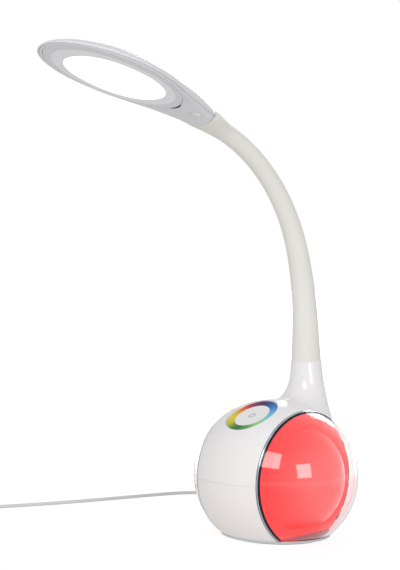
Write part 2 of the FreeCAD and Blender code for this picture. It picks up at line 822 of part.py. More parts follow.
def head_outline(height):
    """The head in plan: a round front, long sides, a hollow waist and a round root."""
    front = size("head_front_radius")
    front_y = -size("head_front_centre")
    long = size("head_side_radius")
    turn = math.radians(size("head_side_turn"))
    waist = size("head_waist_radius")
    last = math.radians(size("head_waist_turn"))

    def side_point(angle):
        return Vector(front - long + long * math.cos(angle), front_y + long * math.sin(angle), height)

    joint = side_point(turn)
    hub = joint + Vector(math.cos(turn), math.sin(turn), 0) * waist

    def waist_point(angle):
        return hub - Vector(math.cos(angle), math.sin(angle), 0) * waist

    def other(point):
        return Vector(-point.x, point.y, point.z)

    tip = Vector(0, front_y - front, height)
    shoulder = side_point(0)
    end = waist_point(last)
    root = Vector(0, size("head_root_length"), height)
    right = [Part.Arc(shoulder, side_point(turn / 2), joint),
             Part.Arc(joint, waist_point((turn + last) / 2), end)]
    left = [Part.Arc(other(end), other(waist_point((turn + last) / 2)), other(joint)),
            Part.Arc(other(joint), other(side_point(turn / 2)), other(shoulder))]
    arcs = [Part.Arc(other(shoulder), tip, shoulder)] + right + [Part.Arc(end, root, other(end))] + left
    return Part.Face(Part.Wire([arc.toShape() for arc in arcs]))


def head_slice(low, high, inset=0.0):
    """The head's plan between two heights, drawn in by a wall if one is given."""
    face = head_outline(low)
    if inset:
        face = face.makeOffset2D(-inset)
        face = face if face.ShapeType == "Face" else Part.Face(Part.Wire(face.Edges))
    return face.extrude(Vector(0, 0, high - low))


# Stations of the crown along the head, as shares: how far from the tip to the root,
# how wide beside the front's radius, and how high beside the crown's height.
CROWN_SHARES = [(-0.06, 0.72, 0.10), (0.12, 0.96, 0.62), (0.36, 1.05, 0.94), (0.56, 0.99, 1.0),
                (0.76, 0.76, 0.98), (0.92, 0.56, 0.88), (1.06, 0.50, 0.72)]


def crown(inset):
    """The domed top, lofted through half ovals that stand on the rim."""
    rim = size("head_rim_height")
    tip_y = -size("head_front_centre + head_front_radius")
    span = size("head_root_length") - tip_y
    wires = []
    for along_share, width_share, height_share in CROWN_SHARES:
        across = size("head_front_radius") * width_share - inset
        high = max(size("crown_height") * height_share - inset, inset / 4)
        place = Placement(Vector(0, tip_y + span * along_share, rim), Rotation(X_AXIS, 90))
        oval = Part.ArcOfEllipse(Part.Ellipse(Vector(), across, high), 0, math.pi).toShape()
        base = Part.LineSegment(Vector(-across, 0, 0), Vector(across, 0, 0)).toShape()
        wire = Part.Wire([oval, base])
        wire.Placement = place
        wires.append(wire)
    return Part.makeLoft(wires, True)


rim = size("head_rim_height")
under = -size("head_underside")
wall = size("head_wall")
floor = under + size("head_floor")
crown_top = rim + size("crown_height")
arm_hole = Part.makeCylinder(size("core_radius + lip_gap"), size("core_tip + 2 * overrun"),
                             Vector(0, size("head_root_length - core_tip - overrun"), size("head_axis_height")), Y_AXIS)

cover = head_slice(rim, crown_top).common(crown(0.0))
cover = cover.cut(head_slice(rim, crown_top, wall).common(crown(wall))).cut(arm_hole)
feature("head_cover", one_solid(cover), head_frame)

shell = head_slice(under, rim)
low_edges = [edge for edge in shell.Edges if abs(edge.BoundBox.ZMax - under) < size("fit_gap") / 2]
shell = shell.makeFillet(size("head_edge_round"), low_edges)
shell = shell.cut(head_slice(floor, rim + size("overrun"), wall))


def bezel_oval(grow, low, high):
    curve = Part.Ellipse(Vector(), size("bezel_half_length") + grow, size("bezel_half_width") + grow).toShape()
    curve.Placement = Placement(Vector(0, -size("bezel_shift"), low), Rotation(Z_AXIS, 90))
    return Part.Face(Part.Wire([curve])).extrude(Vector(0, 0, high - low))


open_low = under - size("overrun")
open_high = rim + size("overrun")
gap = size("fit_gap")
shell = shell.cut(bezel_oval(gap, open_low, open_high))
slit_start = size("slit_offset")
slit = bezel_oval(slit_start + size("slit_width"), open_low, under + size("slit_depth"))
slit = slit.cut(bezel_oval(slit_start, open_low, open_high))
slit_box = Part.makeBox(2 * size("slit_reach"), reach, reach,
                        Vector(size("button_offset") - size("slit_reach"), 0, open_low))
shell = shell.cut(slit.common(slit_box))
button_at = Vector(size("button_offset"), size("button_back"), 0)
shell = shell.cut(Part.makeCylinder(size("button_radius + fit_gap"), reach, button_at + Z_AXIS * open_low))
switch_low = floor + size("button_travel + button_flange_height + switch_clearance + fit_gap")
head_board_low = switch_low + size("switch_height")
post_x = size("head_board_width / 2 - post_inset")
post_y = size("head_board_length / 2 - post_inset")
board_centre = Vector(size("head_board_side"), size("head_board_back"), 0)
for i in (-1, 1):
    for j in (-1, 1):
        post_at = board_centre + Vector(i * post_x, j * post_y, under + size("head_floor / 2"))
        shell = shell.fuse(Part.makeCylinder(size("post_radius"), head_board_low - post_at.z, post_at))
shell = shell.cut(arm_hole)
feature("head_housing", one_solid(shell), head_frame)

# The bezel dishes in from an oval edge to the round panel.

bezel = bezel_oval(0.0, under, under + size("bezel_thickness"))
light_hole = Part.makeCylinder(size("light_radius + fit_gap"), reach, Vector(0, 0, open_low))
mouth = Part.Ellipse(Vector(), size("bezel_half_length - fit_gap"), size("bezel_half_width - fit_gap")).toShape()
mouth.Placement = Placement(Vector(0, -size("bezel_shift"), under - gap), Rotation(Z_AXIS, 90))
throat = Part.makeCircle(size("light_radius + fit_gap"), Vector(0, 0, 0))
throat.rotate(Vector(), Z_AXIS, 90)
dish = Part.makeLoft([Part.Wire([mouth]), Part.Wire([throat])], True, True)
feature("head_bezel", one_solid(bezel.cut(light_hole).cut(dish)), head_frame)

# The lit panel and what stands over it: light guide, mirror sheet, lamp strip and
# back plate.


def turned_in_head(name, inner, outer, low, thickness):
    """A disc, or a ring where an inner radius is given, about the panel's axis."""
    profile = [(inner, "0"), (outer, "0"), (outer, thickness), (inner, thickness)]
    body = lathe(name + "_disc", profile)
    body.Placement = Placement(head_frame.multVec(Vector(0, 0, size(low))), head_turn)
    return node(body, name)


guide_low = "light_thickness + guide_gap"
mirror_low = guide_low + " + guide_thickness + guide_gap"
plate_low = mirror_low + " + mirror_thickness + guide_gap"
turned_in_head("light_panel", "0", "light_radius", "0", "light_thickness")
turned_in_head("light_guide", "0", "light_radius - strip_thickness - 2 * guide_gap", guide_low, "guide_thickness")
turned_in_head("lamp_strip", "light_radius - strip_thickness", "light_radius", guide_low, "guide_thickness")
turned_in_head("mirror_sheet", "0", "light_radius - strip_thickness", mirror_low, "mirror_thickness")
turned_in_head("back_plate", "0", "light_radius + back_plate_margin", plate_low, "back_plate_thickness")

# The button under the head's root, its switch and the small board that carries it.

cap = Part.makeCylinder(size("button_radius"), floor - under + size("button_proud + fit_gap"),
                        button_at + Z_AXIS * (under - size("button_proud")))
rim_edge = [edge for edge in cap.Edges if abs(edge.BoundBox.ZMax - under + size("button_proud")) < gap / 2]
cap = cap.makeFillet(size("button_proud / 2"), rim_edge)
cap = cap.fuse(Part.makeCylinder(size("button_radius + button_flange"), size("button_flange_height"),
                                 button_at + Z_AXIS * (floor + gap)))
feature("head_button", one_solid(cap), head_frame)
switch = size("switch_size")
feature("button_switch", Part.makeBox(switch, switch, size("switch_height"),
        button_at + Vector(-switch / 2, -switch / 2, switch_low)), head_frame)
wide = size("head_board_width")
long = size("head_board_length")
head_board = Part.makeBox(wide, long, size("board_thickness"), board_centre + Vector(-wide / 2, -long / 2, head_board_low))
feature("head_board", head_board, head_frame)

# The clamp that holds the arm's tip in the head, and its two screws.

clamp_at = Vector(0, size("clamp_back"), floor)
clamp = Part.makeBox(size("clamp_width"), size("clamp_length"), size("clamp_height"),
                     clamp_at - Vector(size("clamp_width / 2"), size("clamp_length / 2"), 0))
clamp = clamp.cut(Part.makeCylinder(size("core_radius + fit_gap / 2"), size("head_root_length"),
                                    Vector(0, 0, size("head_axis_height")), Y_AXIS))
clamp_screw = screw(size("screw_head_radius"), head_height, size("screw_radius"), size("clamp_height"))
clamp_screw.rotate(Vector(), X_AXIS, 180)
screws = []
for i in (-1, 1):
    top = clamp_at + Vector(i * size("clamp_screw_spread"), 0, size("clamp_height") + head_height)
    screws.append(clamp_screw.translated(top))
    clamp = clamp.cut(Part.makeCylinder(size("screw_radius + fit_gap / 4"), reach, top - Z_AXIS * reach))
feature("arm_clamp", one_solid(clamp), head_frame)
feature("clamp_screws", Part.makeCompound(screws), head_frame)

# The cord's boot: a flange inside the shell, a plug through it and a ribbed taper.

corners_of_boot = [("0", "0"), ("boot_flange_radius", "0"), ("boot_flange_radius", "boot_flange"),
                   ("boot_radius", "boot_flange")]
for rib in range(BOOT_RIBS):
    share = "%d / %d" % (rib, BOOT_RIBS)
    radius = "boot_radius - (boot_radius - boot_tip_radius) * %s" % share
    along = "boot_flange + boot_sink + boot_length * %s" % share
    step = "boot_length / %d" % (4 * BOOT_RIBS)
    corners_of_boot += [(radius, along), (radius, along + " + 2 * " + step),
                        (radius + " - boot_groove", along + " + 2.4 * " + step),
                        (radius + " - boot_groove", along + " + 3.4 * " + step)]
boot_end = "boot_flange + boot_sink + boot_length"
corners_of_boot += [("boot_tip_radius", boot_end), ("0", boot_end)]
boot = lathe("boot", corners_of_boot)
boot.Placement.Rotation = Rotation(X_AXIS, -90)
seat(boot, "0", "boot_seat - boot_flange", "cord_exit_height")
node(boot, "cord_boot")

# The cord leaves the boot, comes down to the table, runs round behind the base and
# away to the left, and is wound up there.

cord_radius = size("cord_diameter / 2")
rest = cord_radius + size("fit_gap / 2")
exit_y = size("boot_seat + boot_sink + boot_length")
cord_points = [Vector(*point) for point in (
    (0, exit_y, boot_height), (0, exit_y + 14, boot_height), (-3, exit_y + 31, 8), (-12, exit_y + 46, 2.6),
    (-30, exit_y + 58, rest), (-62, exit_y + 64, rest), (-104, exit_y + 62, rest), (-148, exit_y + 50, rest),
    (-186, exit_y + 32, rest), (-213, exit_y + 7, rest), (-226, 48, rest), (-237, 8, rest), (-250, -34, rest),
    (-268, -78, rest), (-290, -122, rest))]


def bent_path(points):
    """Straight runs joined by arcs that touch them, as large as the runs allow."""
    edges = []
    radii = []
    last = points[0]
    for before, at, after in zip(points, points[1:], points[2:]):
        into = (at - before).normalize()
        out = (after - at).normalize()
        turn = into.getAngle(out)
        radius = 0.45 * min((at - before).Length, (after - at).Length) / math.tan(turn / 2)
        setback = radius * math.tan(turn / 2)
        start = at - into * setback
        end = at + out * setback
        inward = (out - into).normalize()
        middle = at + inward * (radius / math.cos(turn / 2) - radius)
        edges.append(Part.LineSegment(last, start).toShape())
        edges.append(Part.Arc(start, middle, end).toShape())
        radii.append(radius)
        last = end
    edges.append(Part.LineSegment(last, points[-1]).toShape())
    return Part.Wire(edges), radii


def along(direction, point):
    """A frame at a point, with Z along a direction."""
    return Placement(point, Rotation(Z_AXIS, direction))


def tube(path, start, direction):
    shape = path.makePipeShell([disc_wire(cord_radius, along(direction, start))], True, False)
    shape = one_solid(shape)
    print("tube %.1f long, volume %.1f, section times length %.1f"
          % (path.Length, shape.Volume, math.pi * cord_radius ** 2 * path.Length))
    return shape


cord_path, cord_radii = bent_path(cord_points)
print("cord radii", [round(radius, 1) for radius in cord_radii])
feature("cord", tube(cord_path, cord_points[0], Y_AXIS))

# The coil: turns that spiral in on the table and out again on top, as one tube made
# of two touching arcs for each quarter turn.

coil_start = cord_points[-1]
coil_heading = (cord_points[-1] - cord_points[-2]).normalize()
pitch = size("cord_diameter + coil_turn_gap")
layer_turns = COIL_TURNS / COIL_LAYERS
coil_outer = size("coil_across") / 2 + pitch * layer_turns / 2
to_hub = coil_heading.cross(Z_AXIS)
lead = coil_heading * size("cord_diameter")
coil_hub = coil_start + lead + to_hub * coil_outer
first_angle = math.atan2(-to_hub.y, -to_hub.x)
climb_half = 0.25


def coil_point(turns):
    """A point of the coil's middle line after so many turns, wound clockwise."""
    depth = min(turns, COIL_TURNS - turns)
    radius = coil_outer - pitch * depth
    angle = first_angle - 2 * math.pi * turns
    climbed = (turns - (layer_turns - climb_half)) / (2 * climb_half)
    climbed = min(max(climbed, 0.0), 1.0)
    height = pitch * climbed * climbed * (3 - 2 * climbed)
    return coil_hub + Vector(radius * math.cos(angle), radius * math.sin(angle), height)


def coil_tangent(turns):
    step = 0.002
    return (coil_point(turns + step) - coil_point(turns - step)).normalize()


def touching_arc(start, tangent, end):
    chord = end - start
    bulge = tangent - chord * (tangent.dot(chord) / chord.Length ** 2)
    if bulge.Length < 1e-6:
        return Part.LineSegment(start, end).toShape()
    rise = chord.Length / 2 * math.tan(tangent.getAngle(chord) / 2)
    return Part.Arc(start, (start + end) / 2 + bulge.normalize() * rise, end).toShape()


def biarc(start, tangent, end, last_tangent):
    """Two arcs that leave along one tangent, meet smoothly and arrive along the other."""
    across = end - start
    both = tangent + last_tangent
    square = 2 * (1 - tangent.dot(last_tangent))
    if square < 1e-9:
        reach_out = across.Length ** 2 / (4 * across.dot(last_tangent))
    else:
        dot = across.dot(both)
        reach_out = (-dot + math.sqrt(dot * dot + square * across.Length ** 2)) / square
    meet = (start + end + (tangent - last_tangent) * reach_out) / 2
    back = touching_arc(end, last_tangent * -1, meet)
    back.reverse()
    return [touching_arc(start, tangent, meet), back]


quarters = [i / 4 for i in range(4 * COIL_TURNS + 1)]
places = [coil_point(turns) for turns in quarters]
tangents = [coil_tangent(turns) for turns in quarters]
tangents[0] = coil_heading
tangents[-1] = Vector(tangents[-1].x, tangents[-1].y, 0).normalize()
coil_edges = [Part.LineSegment(coil_start, places[0]).toShape()]
for i in range(len(quarters) - 1):
    coil_edges += biarc(places[i], tangents[i], places[i + 1], tangents[i + 1])
coil_end = places[-1] + tangents[-1] * size("cord_diameter")
coil_edges.append(Part.LineSegment(places[-1], coil_end).toShape())
feature("cord_coil", tube(Part.Wire(coil_edges), coil_start, coil_heading))


def least_self_gap(samples):
    """The narrowest space between turns, measured on points of the middle line."""
    spots = [coil_point(COIL_TURNS * i / samples) for i in range(samples + 1)]
    apart = samples // (2 * COIL_TURNS)
    least = min((a - b).Length for i, a in enumerate(spots) for b in spots[i + apart:])
    return least - size("cord_diameter")


print("least gap in the coil %.2f" % least_self_gap(60 * COIL_TURNS))

# The tail runs down from the coil to the plug, which lies flat beside it.

plug_axis = size("plug_height / 2")
tail_heading = Vector(tangents[-1].x, tangents[-1].y, 0).normalize()
tail_side = tail_heading.cross(Z_AXIS)
tail = size("tail_length")
drop = coil_end.z - plug_axis
tail_points = [coil_end, coil_end + tail_heading * (tail * 0.3),
               coil_end + tail_heading * (tail * 0.68) - Z_AXIS * drop - tail_side * (tail * 0.04),
               coil_end + tail_heading * tail - Z_AXIS * drop - tail_side * (tail * 0.1)]
tail_path, tail_radii = bent_path(tail_points)
print("tail radii", [round(radius, 1) for radius in tail_radii])
feature("cord_tail", tube(tail_path, coil_end, tail_heading))
print("cord length", round(cord_path.Length + Part.Wire(coil_edges).Length + tail_path.Length, 1))

# The plug: a moulded grip with a tapered boot, and its metal contact shell.

plug_heading = (tail_points[-1] - tail_points[-2]).normalize()
plug_frame = Placement(tail_points[-1], Rotation(Z_AXIS, math.degrees(math.atan2(plug_heading.y, plug_heading.x))))
boot_long = size("plug_boot_length")
grip = Part.makeBox(size("plug_length"), size("plug_width"), size("plug_height"),
                    Vector(boot_long, -size("plug_width / 2"), -plug_axis))
long_edges = [edge for edge in grip.Edges if edge.BoundBox.XLength > size("plug_length / 2")]
grip = grip.makeFillet(size("plug_round"), long_edges)
taper = Part.makeCone(size("cord_diameter / 2 + contact_wall"), size("plug_height / 2 - contact_wall"), boot_long,
                      Vector(), X_AXIS)
feature("plug_grip", one_solid(grip.fuse(taper)), plug_frame)
contact_start = boot_long + size("plug_length")
metal = size("contact_wall")
contact = Part.makeBox(size("contact_length"), size("contact_width"), size("contact_height"),
                       Vector(contact_start, -size("contact_width / 2"), -size("contact_height / 2")))
inside = Part.makeBox(size("contact_length"), size("contact_width") - 2 * metal, size("contact_height") - 2 * metal,
                      Vector(contact_start + metal, -size("contact_width / 2") + metal,
                             -size("contact_height / 2") + metal))
tongue = Part.makeBox(size("contact_length") - 2 * metal, size("contact_width") - 2 * metal,
                      size("contact_height") / 2 - metal,
                      Vector(contact_start + metal / 2, -size("contact_width / 2") + metal, 0))
feature("plug_contact", one_solid(contact.cut(inside).fuse(tongue)), plug_frame)

doc.recompute()
for item in doc.Objects:
    if "Invalid" in item.State or "Error" in item.State:
        raise RuntimeError("%s did not build: %s" % (item.Label, item.State))
os.makedirs("parts", exist_ok=True)
for piece in nodes:
    shape = piece.Shape
    if shape.isNull() or not shape.isValid():
        raise RuntimeError("%s has no valid shape" % piece.Label)
for piece in nodes:
    piece.Shape.exportStep("parts/%s.step" % piece.Label)
    print(piece.Label, len(piece.Shape.Solids), round(piece.Shape.Volume, 1))
print(len(nodes), "nodes")
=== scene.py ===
import math

import bmesh
import bpy
from mathutils import Matrix, Vector


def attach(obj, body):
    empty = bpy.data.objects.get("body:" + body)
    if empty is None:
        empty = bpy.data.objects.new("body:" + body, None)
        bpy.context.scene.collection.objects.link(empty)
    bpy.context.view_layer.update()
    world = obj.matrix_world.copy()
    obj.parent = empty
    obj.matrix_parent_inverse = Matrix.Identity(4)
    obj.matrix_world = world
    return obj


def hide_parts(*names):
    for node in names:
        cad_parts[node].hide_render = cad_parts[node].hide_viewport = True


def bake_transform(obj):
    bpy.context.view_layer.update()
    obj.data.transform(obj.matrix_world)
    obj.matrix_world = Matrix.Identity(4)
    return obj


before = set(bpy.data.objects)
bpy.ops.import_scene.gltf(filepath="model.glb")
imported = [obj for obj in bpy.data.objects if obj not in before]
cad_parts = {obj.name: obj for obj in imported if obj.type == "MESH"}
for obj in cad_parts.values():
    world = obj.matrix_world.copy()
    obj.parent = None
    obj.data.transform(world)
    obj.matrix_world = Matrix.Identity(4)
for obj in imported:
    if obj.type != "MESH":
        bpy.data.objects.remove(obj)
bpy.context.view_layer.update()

# The foot is an oval sheet of black rubber, glued under a dark moulded plate. The
# plate closes the body from below and takes four screws, which the foot covers.


class Signal:
    """A shader socket that can be used in sums."""

    def __init__(self, tree, socket):
        self.tree = tree
        self.socket = socket

    def combine(self, operation, *terms):
        node = self.tree.nodes.new("ShaderNodeMath")
        node.operation = operation
        for entry, term in zip(node.inputs, terms):
            if isinstance(term, Signal):
                self.tree.links.new(term.socket, entry)
            else:
                entry.default_value = term
        return Signal(self.tree, node.outputs[0])

    def __add__(self, other):
        return self.combine("ADD", self, other)

    def __radd__(self, other):
        return self.combine("ADD", other, self)

    def __sub__(self, other):
        return self.combine("SUBTRACT", self, other)

    def __rsub__(self, other):
        return self.combine("SUBTRACT", other, self)

    def __mul__(self, other):
        return self.combine("MULTIPLY", self, other)

    def __truediv__(self, other):
        return self.combine("DIVIDE", self, other)

    def __abs__(self):
        return self.combine("ABSOLUTE", self)

    def ramp_between(self, low, high):
        """0 below low and 1 above high, with a soft step between them."""
        node = self.tree.nodes.new("ShaderNodeMapRange")
        node.interpolation_type = "SMOOTHSTEP"
        self.tree.links.new(self.socket, node.inputs["Value"])
        node.inputs["From Min"].default_value = low
        node.inputs["From Max"].default_value = high
        return Signal(self.tree, node.outputs["Result"])


def rgb(red, green, blue):
    """A colour as it looks on a screen, 0 to 255, made linear."""
    parts = [part / 255 for part in (red, green, blue)]
    return tuple(part / 12.92 if part < 0.04045 else ((part + 0.055) / 1.055) ** 2.4 for part in parts) + (1.0,)


class Finish:
    """A material with one Principled shader, whose sockets take values or signals."""

    def __init__(self, name, **sockets):
        self.material = bpy.data.materials.new(name)
        self.material.use_nodes = True
        self.tree = self.material.node_tree
        self.shader = self.tree.nodes["Principled BSDF"]
        self.set(**sockets)

    def fill(self, node, values):
        for name, value in values.items():
            entry = node.inputs[name.replace("_", " ")]
            if isinstance(value, Signal):
                self.tree.links.new(value.socket, entry)
            else:
                entry.default_value = value

    def set(self, **sockets):
        self.fill(self.shader, sockets)
        return self

    def make(self, kind, settings=None, output=0, **values):
        """Any other node, with its settings made before its sockets are filled."""
        node = self.tree.nodes.new(kind)
        for name, value in (settings or {}).items():
            setattr(node, name, value)
        self.fill(node, values)
        return Signal(self.tree, node.outputs[output])

    def place(self):
        return self.make("ShaderNodeTexCoord", output="Object")

    def axes(self, vector):
        split = self.tree.nodes.new("ShaderNodeSeparateXYZ")
        self.tree.links.new(vector.socket, split.inputs[0])
        return [Signal(self.tree, entry) for entry in split.outputs]

    def noise(self, size, detail=3.0):
        """Noise from 0 to 1, whose grain is about so many metres."""
        return self.make("ShaderNodeTexNoise", Vector=self.place(), Scale=1 / size, Detail=detail)

    def blend(self, share, one, other):
        """A colour between two others."""
        node = self.tree.nodes.new("ShaderNodeMix")
        node.data_type = "RGBA"
        for entry, value in ((node.inputs["Factor"], share), (node.inputs[6], one), (node.inputs[7], other)):
            if isinstance(value, Signal):
                self.tree.links.new(value.socket, entry)
            else:
                entry.default_value = value
        return Signal(self.tree, node.outputs[2])

    def relief(self, height, depth):
        """A bumped normal, from a height of 0 to 1 that is so many metres deep."""
        node = self.tree.nodes.new("ShaderNodeBump")
        node.inputs["Strength"].default_value = 1.0
        node.inputs["Distance"].default_value = depth
        self.tree.links.new(height.socket, node.inputs["Height"])
        return self.set(Normal=Signal(self.tree, node.outputs[0]))


def wear(name, finish):
    """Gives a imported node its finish."""
    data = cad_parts[name].data
    data.materials.clear()
    data.materials.append(finish.material)


def moulded(name, colour, roughness, grain, depth):
    """Plastic or rubber with a fine grain and a little unevenness in its gloss."""
    finish = Finish(name)
    fine = finish.noise(grain)
    broad = finish.noise(grain * 30, 2.0)
    shade = [part * 0.93 for part in colour[:3]] + [1.0]
    finish.set(Base_Color=finish.blend(broad, shade, colour), Roughness=roughness + (broad - 0.5) * 0.12)
    return finish.relief(fine, depth)


def shade(work, crease):
    """Smooth faces, with every edge crisp that turns by more than so many degrees."""
    for face in work.faces:
        face.smooth = True
    for edge in work.edges:
        edge.smooth = len(edge.link_faces) == 2 and edge.calc_face_angle(0) < math.radians(crease)


class Grower:
    """A Geometry Nodes tree with a named input for each size, which ends as a plain mesh."""

    def __init__(self, name, **sizes):
        self.name = name
        self.tree = bpy.data.node_groups.new(name, "GeometryNodeTree")
        sockets = self.tree.interface
        sockets.new_socket("Points", in_out="INPUT", socket_type="NodeSocketGeometry")
        sockets.new_socket("Grown", in_out="OUTPUT", socket_type="NodeSocketGeometry")
        self.entered = {}
        for label, value in sizes.items():
            kind = "NodeSocketInt" if isinstance(value, int) else "NodeSocketFloat"
            socket = sockets.new_socket(label.replace("_", " "), in_out="INPUT", socket_type=kind)
            self.entered[socket.identifier] = value
        self.entry = self.tree.nodes.new("NodeGroupInput")

    def size(self, label):
        return self.entry.outputs[label]

    def put(self, entry, value):
        if isinstance(value, bpy.types.NodeSocket):
            self.tree.links.new(value, entry)
        elif isinstance(value, list):
            for part in value:
                self.put(entry, part)
        else:
            entry.default_value = value

    def add(self, kind, settings=None, output=0, **values):
        """Any node, with its settings made before its sockets are filled."""
        node = self.tree.nodes.new(kind)
        for name, value in (settings or {}).items():
            setattr(node, name, value)
        for name, value in values.items():
            self.put(node.inputs[name.replace("_", " ")], value)
        return node.outputs[output]

    def sum(self, operation, *terms):
        node = self.tree.nodes.new("ShaderNodeMath")
        node.operation = operation
        for entry, term in zip(node.inputs, terms):
            self.put(entry, term)
        return node.outputs[0]

    def spread(self, shape, turned=(0, 0, 0)):
        """A copy of a shape on every point."""
        return self.add(
            "GeometryNodeInstanceOnPoints", Points=self.size("Points"), Instance=shape, Rotation=turned)

    def grow(self, points, shape, finish, body, slot):
        """Runs the tree on a mesh of points and keeps its result."""
        plain = self.add("GeometryNodeRealizeInstances", Geometry=shape)
        dressed = self.add("GeometryNodeSetMaterial", Geometry=plain, Material=finish.material)
        self.tree.links.new(dressed, self.tree.nodes.new("NodeGroupOutput").inputs[0])
        start = bpy.data.meshes.new(self.name + "_points")
        start.from_pydata(points, [], [])
        piece = bpy.data.objects.new(self.name, start)
        bpy.context.scene.collection.objects.link(piece)
        modifier = piece.modifiers.new("grow", "NODES")
        modifier.node_group = self.tree
        for identifier, value in self.entered.items():
            modifier[identifier] = value
        grown = bpy.data.meshes.new_from_object(piece.evaluated_get(bpy.context.evaluated_depsgraph_get()))
        piece.modifiers.remove(modifier)
        piece.data = grown
        work = bmesh.new()
        work.from_mesh(grown)
        bmesh.ops.dissolve_limit(work, angle_limit=0.001, verts=work.verts, edges=work.edges)
        bmesh.ops.triangulate(work, faces=[face for face in work.faces if len(face.verts) > 4])
        shade(work, 32)
        work.to_mesh(grown)
        work.free()
        grown.validate()
        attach(piece, body)
        return piece


foot_rubber = moulded("foot_rubber", rgb(150, 150, 153), 0.8, 0.0006, 0.00008)
plate_plastic = moulded("plate_plastic", rgb(206, 206, 209), 0.45, 0.0004, 0.00003)
screw_steel = moulded("screw_steel", rgb(150, 150, 154), 0.35, 0.0003, 0.00001).set(Metallic=1.0)
wear("rubber_foot", foot_rubber)
wear("base_plate", plate_plastic)

screw_across = 0.027
screw_along = 0.023
screw_level = 0.0017
screws = Grower(
    "plate_screws", Head_Radius=0.0026, Head_Height=0.0021, Shank_Radius=0.0014, Shank_Length=0.0061,
    Recess_Length=0.0030, Recess_Width=0.0008, Recess_Depth=0.0012)
head = screws.add(
    "GeometryNodeMeshCone", Vertices=40, Radius_Top=screws.sum("MULTIPLY", screws.size("Head Radius"), 0.86),
    Radius_Bottom=screws.size("Head Radius"), Depth=screws.size("Head Height"))
deep = screws.sum("MULTIPLY", screws.size("Recess Depth"), 2.0)
slots = [
    screws.add("GeometryNodeMeshCube", Size=screws.add(
        "ShaderNodeCombineXYZ", X=screws.size(one), Y=screws.size(other), Z=deep))
    for one, other in (("Recess Length", "Recess Width"), ("Recess Width", "Recess Length"))]
cross = screws.add("GeometryNodeMeshBoolean", {"operation": "UNION"}, Mesh_2=slots)
head = screws.add("GeometryNodeMeshBoolean", {"operation": "DIFFERENCE"}, Mesh_1=head, Mesh_2=cross)
shank = screws.add(
    "GeometryNodeMeshCone", Vertices=28, Radius_Top=screws.sum("MULTIPLY", screws.size("Shank Radius"), 0.6),
    Radius_Bottom=screws.size("Shank Radius"), Depth=screws.size("Shank Length"))
shank = screws.add("GeometryNodeTransform", Geometry=shank, Translation=screws.add(
    "ShaderNodeCombineXYZ", Z=screws.size("Head Height")))
screw = screws.add("GeometryNodeJoinGeometry", Geometry=[head, shank])
screw_piece = screws.grow(
    [(x, y, screw_level) for x in (-screw_across, screw_across) for y in (-screw_along, screw_along)],
    screws.spread(screw), screw_steel, "base", "steel")
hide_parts("base_screws")

# The two shells of the body are moulded in glossy white plastic. Its colour is painted
# lighter and warmer towards the table, as painted light. They meet along the middle
# with a hairline between them.


def kept_form(name, body, finish):
    """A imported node's own form, with its loose triangles joined and shaded smoothly."""
    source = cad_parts[name]
    mesh = source.data.copy()
    mesh.materials.clear()
    mesh.materials.append(finish.material)
    work = bmesh.new()
    work.from_mesh(mesh)
    bmesh.ops.remove_doubles(work, verts=work.verts, dist=2e-6)
    bmesh.ops.dissolve_degenerate(work, edges=work.edges, dist=1e-6)
    shade(work, 32)
    for face in work.faces:
        face.material_index = 0
    work.to_mesh(mesh)
    work.free()
    if mesh.attributes.get("custom_normal"):
        mesh.attributes.remove(mesh.attributes["custom_normal"])
    piece = bpy.data.objects.new(name + "_form", mesh)
    bpy.context.scene.collection.objects.link(piece)
    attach(piece, body)
    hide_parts(name)
    return piece


shell_white = Finish("shell_white", Coat_Weight=0.25, Coat_Roughness=0.05)
_, _, height = shell_white.axes(shell_white.place())
# Painted light: the base colour goes lighter and warmer towards the table.
painted_low_light = 1 - height.ramp_between(0.0, 0.12)
ripple = shell_white.noise(0.02, 1.0)
shell_white.set(
    Base_Color=shell_white.blend(painted_low_light, rgb(238, 236, 237), rgb(249, 243, 240)),
    Roughness=0.16 + ripple * 0.06)
shell_white.relief(ripple, 0.00004)
kept_form("lower_shell", "base", shell_white)
upper_form = kept_form("upper_shell", "base", shell_white)
seam_level = 0.0518
seam_reach = 0.00001
seam_closing = 0.00018
for vertex in upper_form.data.vertices:
    if abs(vertex.co.z - seam_level) < seam_reach:
        vertex.co.z -= seam_closing

# The neck is drawn up out of the upper shell like the bell of a trumpet: round at its
# top, where the sleeve slips on, and widest in front, where it runs into the body.

body_middle = Vector((0, 0, 0.0515))
body_radius = 0.065
neck_lean = math.radians(2.0)
neck_top = Vector((0, 0.0384, 0.1475))
neck_radius = 0.0134
neck_shares = [
    (0.374, 1.254, 0.812, 1.269, 0.237), (0.338, 1.118, 0.831, 1.069, 0.285), (0.254, 1.026, 0.855, 0.854, 0.354),
    (0.123, 0.989, 0.886, 0.646, 0.431), (-0.046, 0.977, 0.880, 0.454, 0.492)]


def read_table(table, at):
    """A smooth curve through a table's points, flat outside them."""
    if at <= table[0][0]:
        return table[0][1]
    if at >= table[-1][0]:
        return table[-1][1]
    i = max(k for k in range(len(table) - 1) if table[k][0] <= at)

    def slope(k):
        low, high = table[max(k - 1, 0)], table[min(k + 1, len(table) - 1)]
        return (high[1] - low[1]) / (high[0] - low[0])

    (x0, y0), (x1, y1) = table[i], table[i + 1]
    span = x1 - x0
    t = (at - x0) / span
    return (y0 * (2 * t ** 3 - 3 * t ** 2 + 1) + y1 * (3 * t ** 2 - 2 * t ** 3)
            + slope(i) * span * (t ** 3 - 2 * t ** 2 + t) + slope(i + 1) * span * (t ** 3 - t ** 2))


def neck_sections():
    """Front point, back point and half width of the neck, from its top down."""
    forward = Vector((0, math.cos(neck_lean), math.sin(neck_lean))) * neck_radius
    found = [(neck_top - forward, neck_top + forward, neck_radius)]
    for front_y, front_z, back_y, back_z, width in neck_shares:
        front = body_middle + Vector((0, front_y, front_z)) * body_radius
        back = body_middle + Vector((0, back_y, back_z)) * body_radius
        found.append((front, back, width * body_radius))
    return found


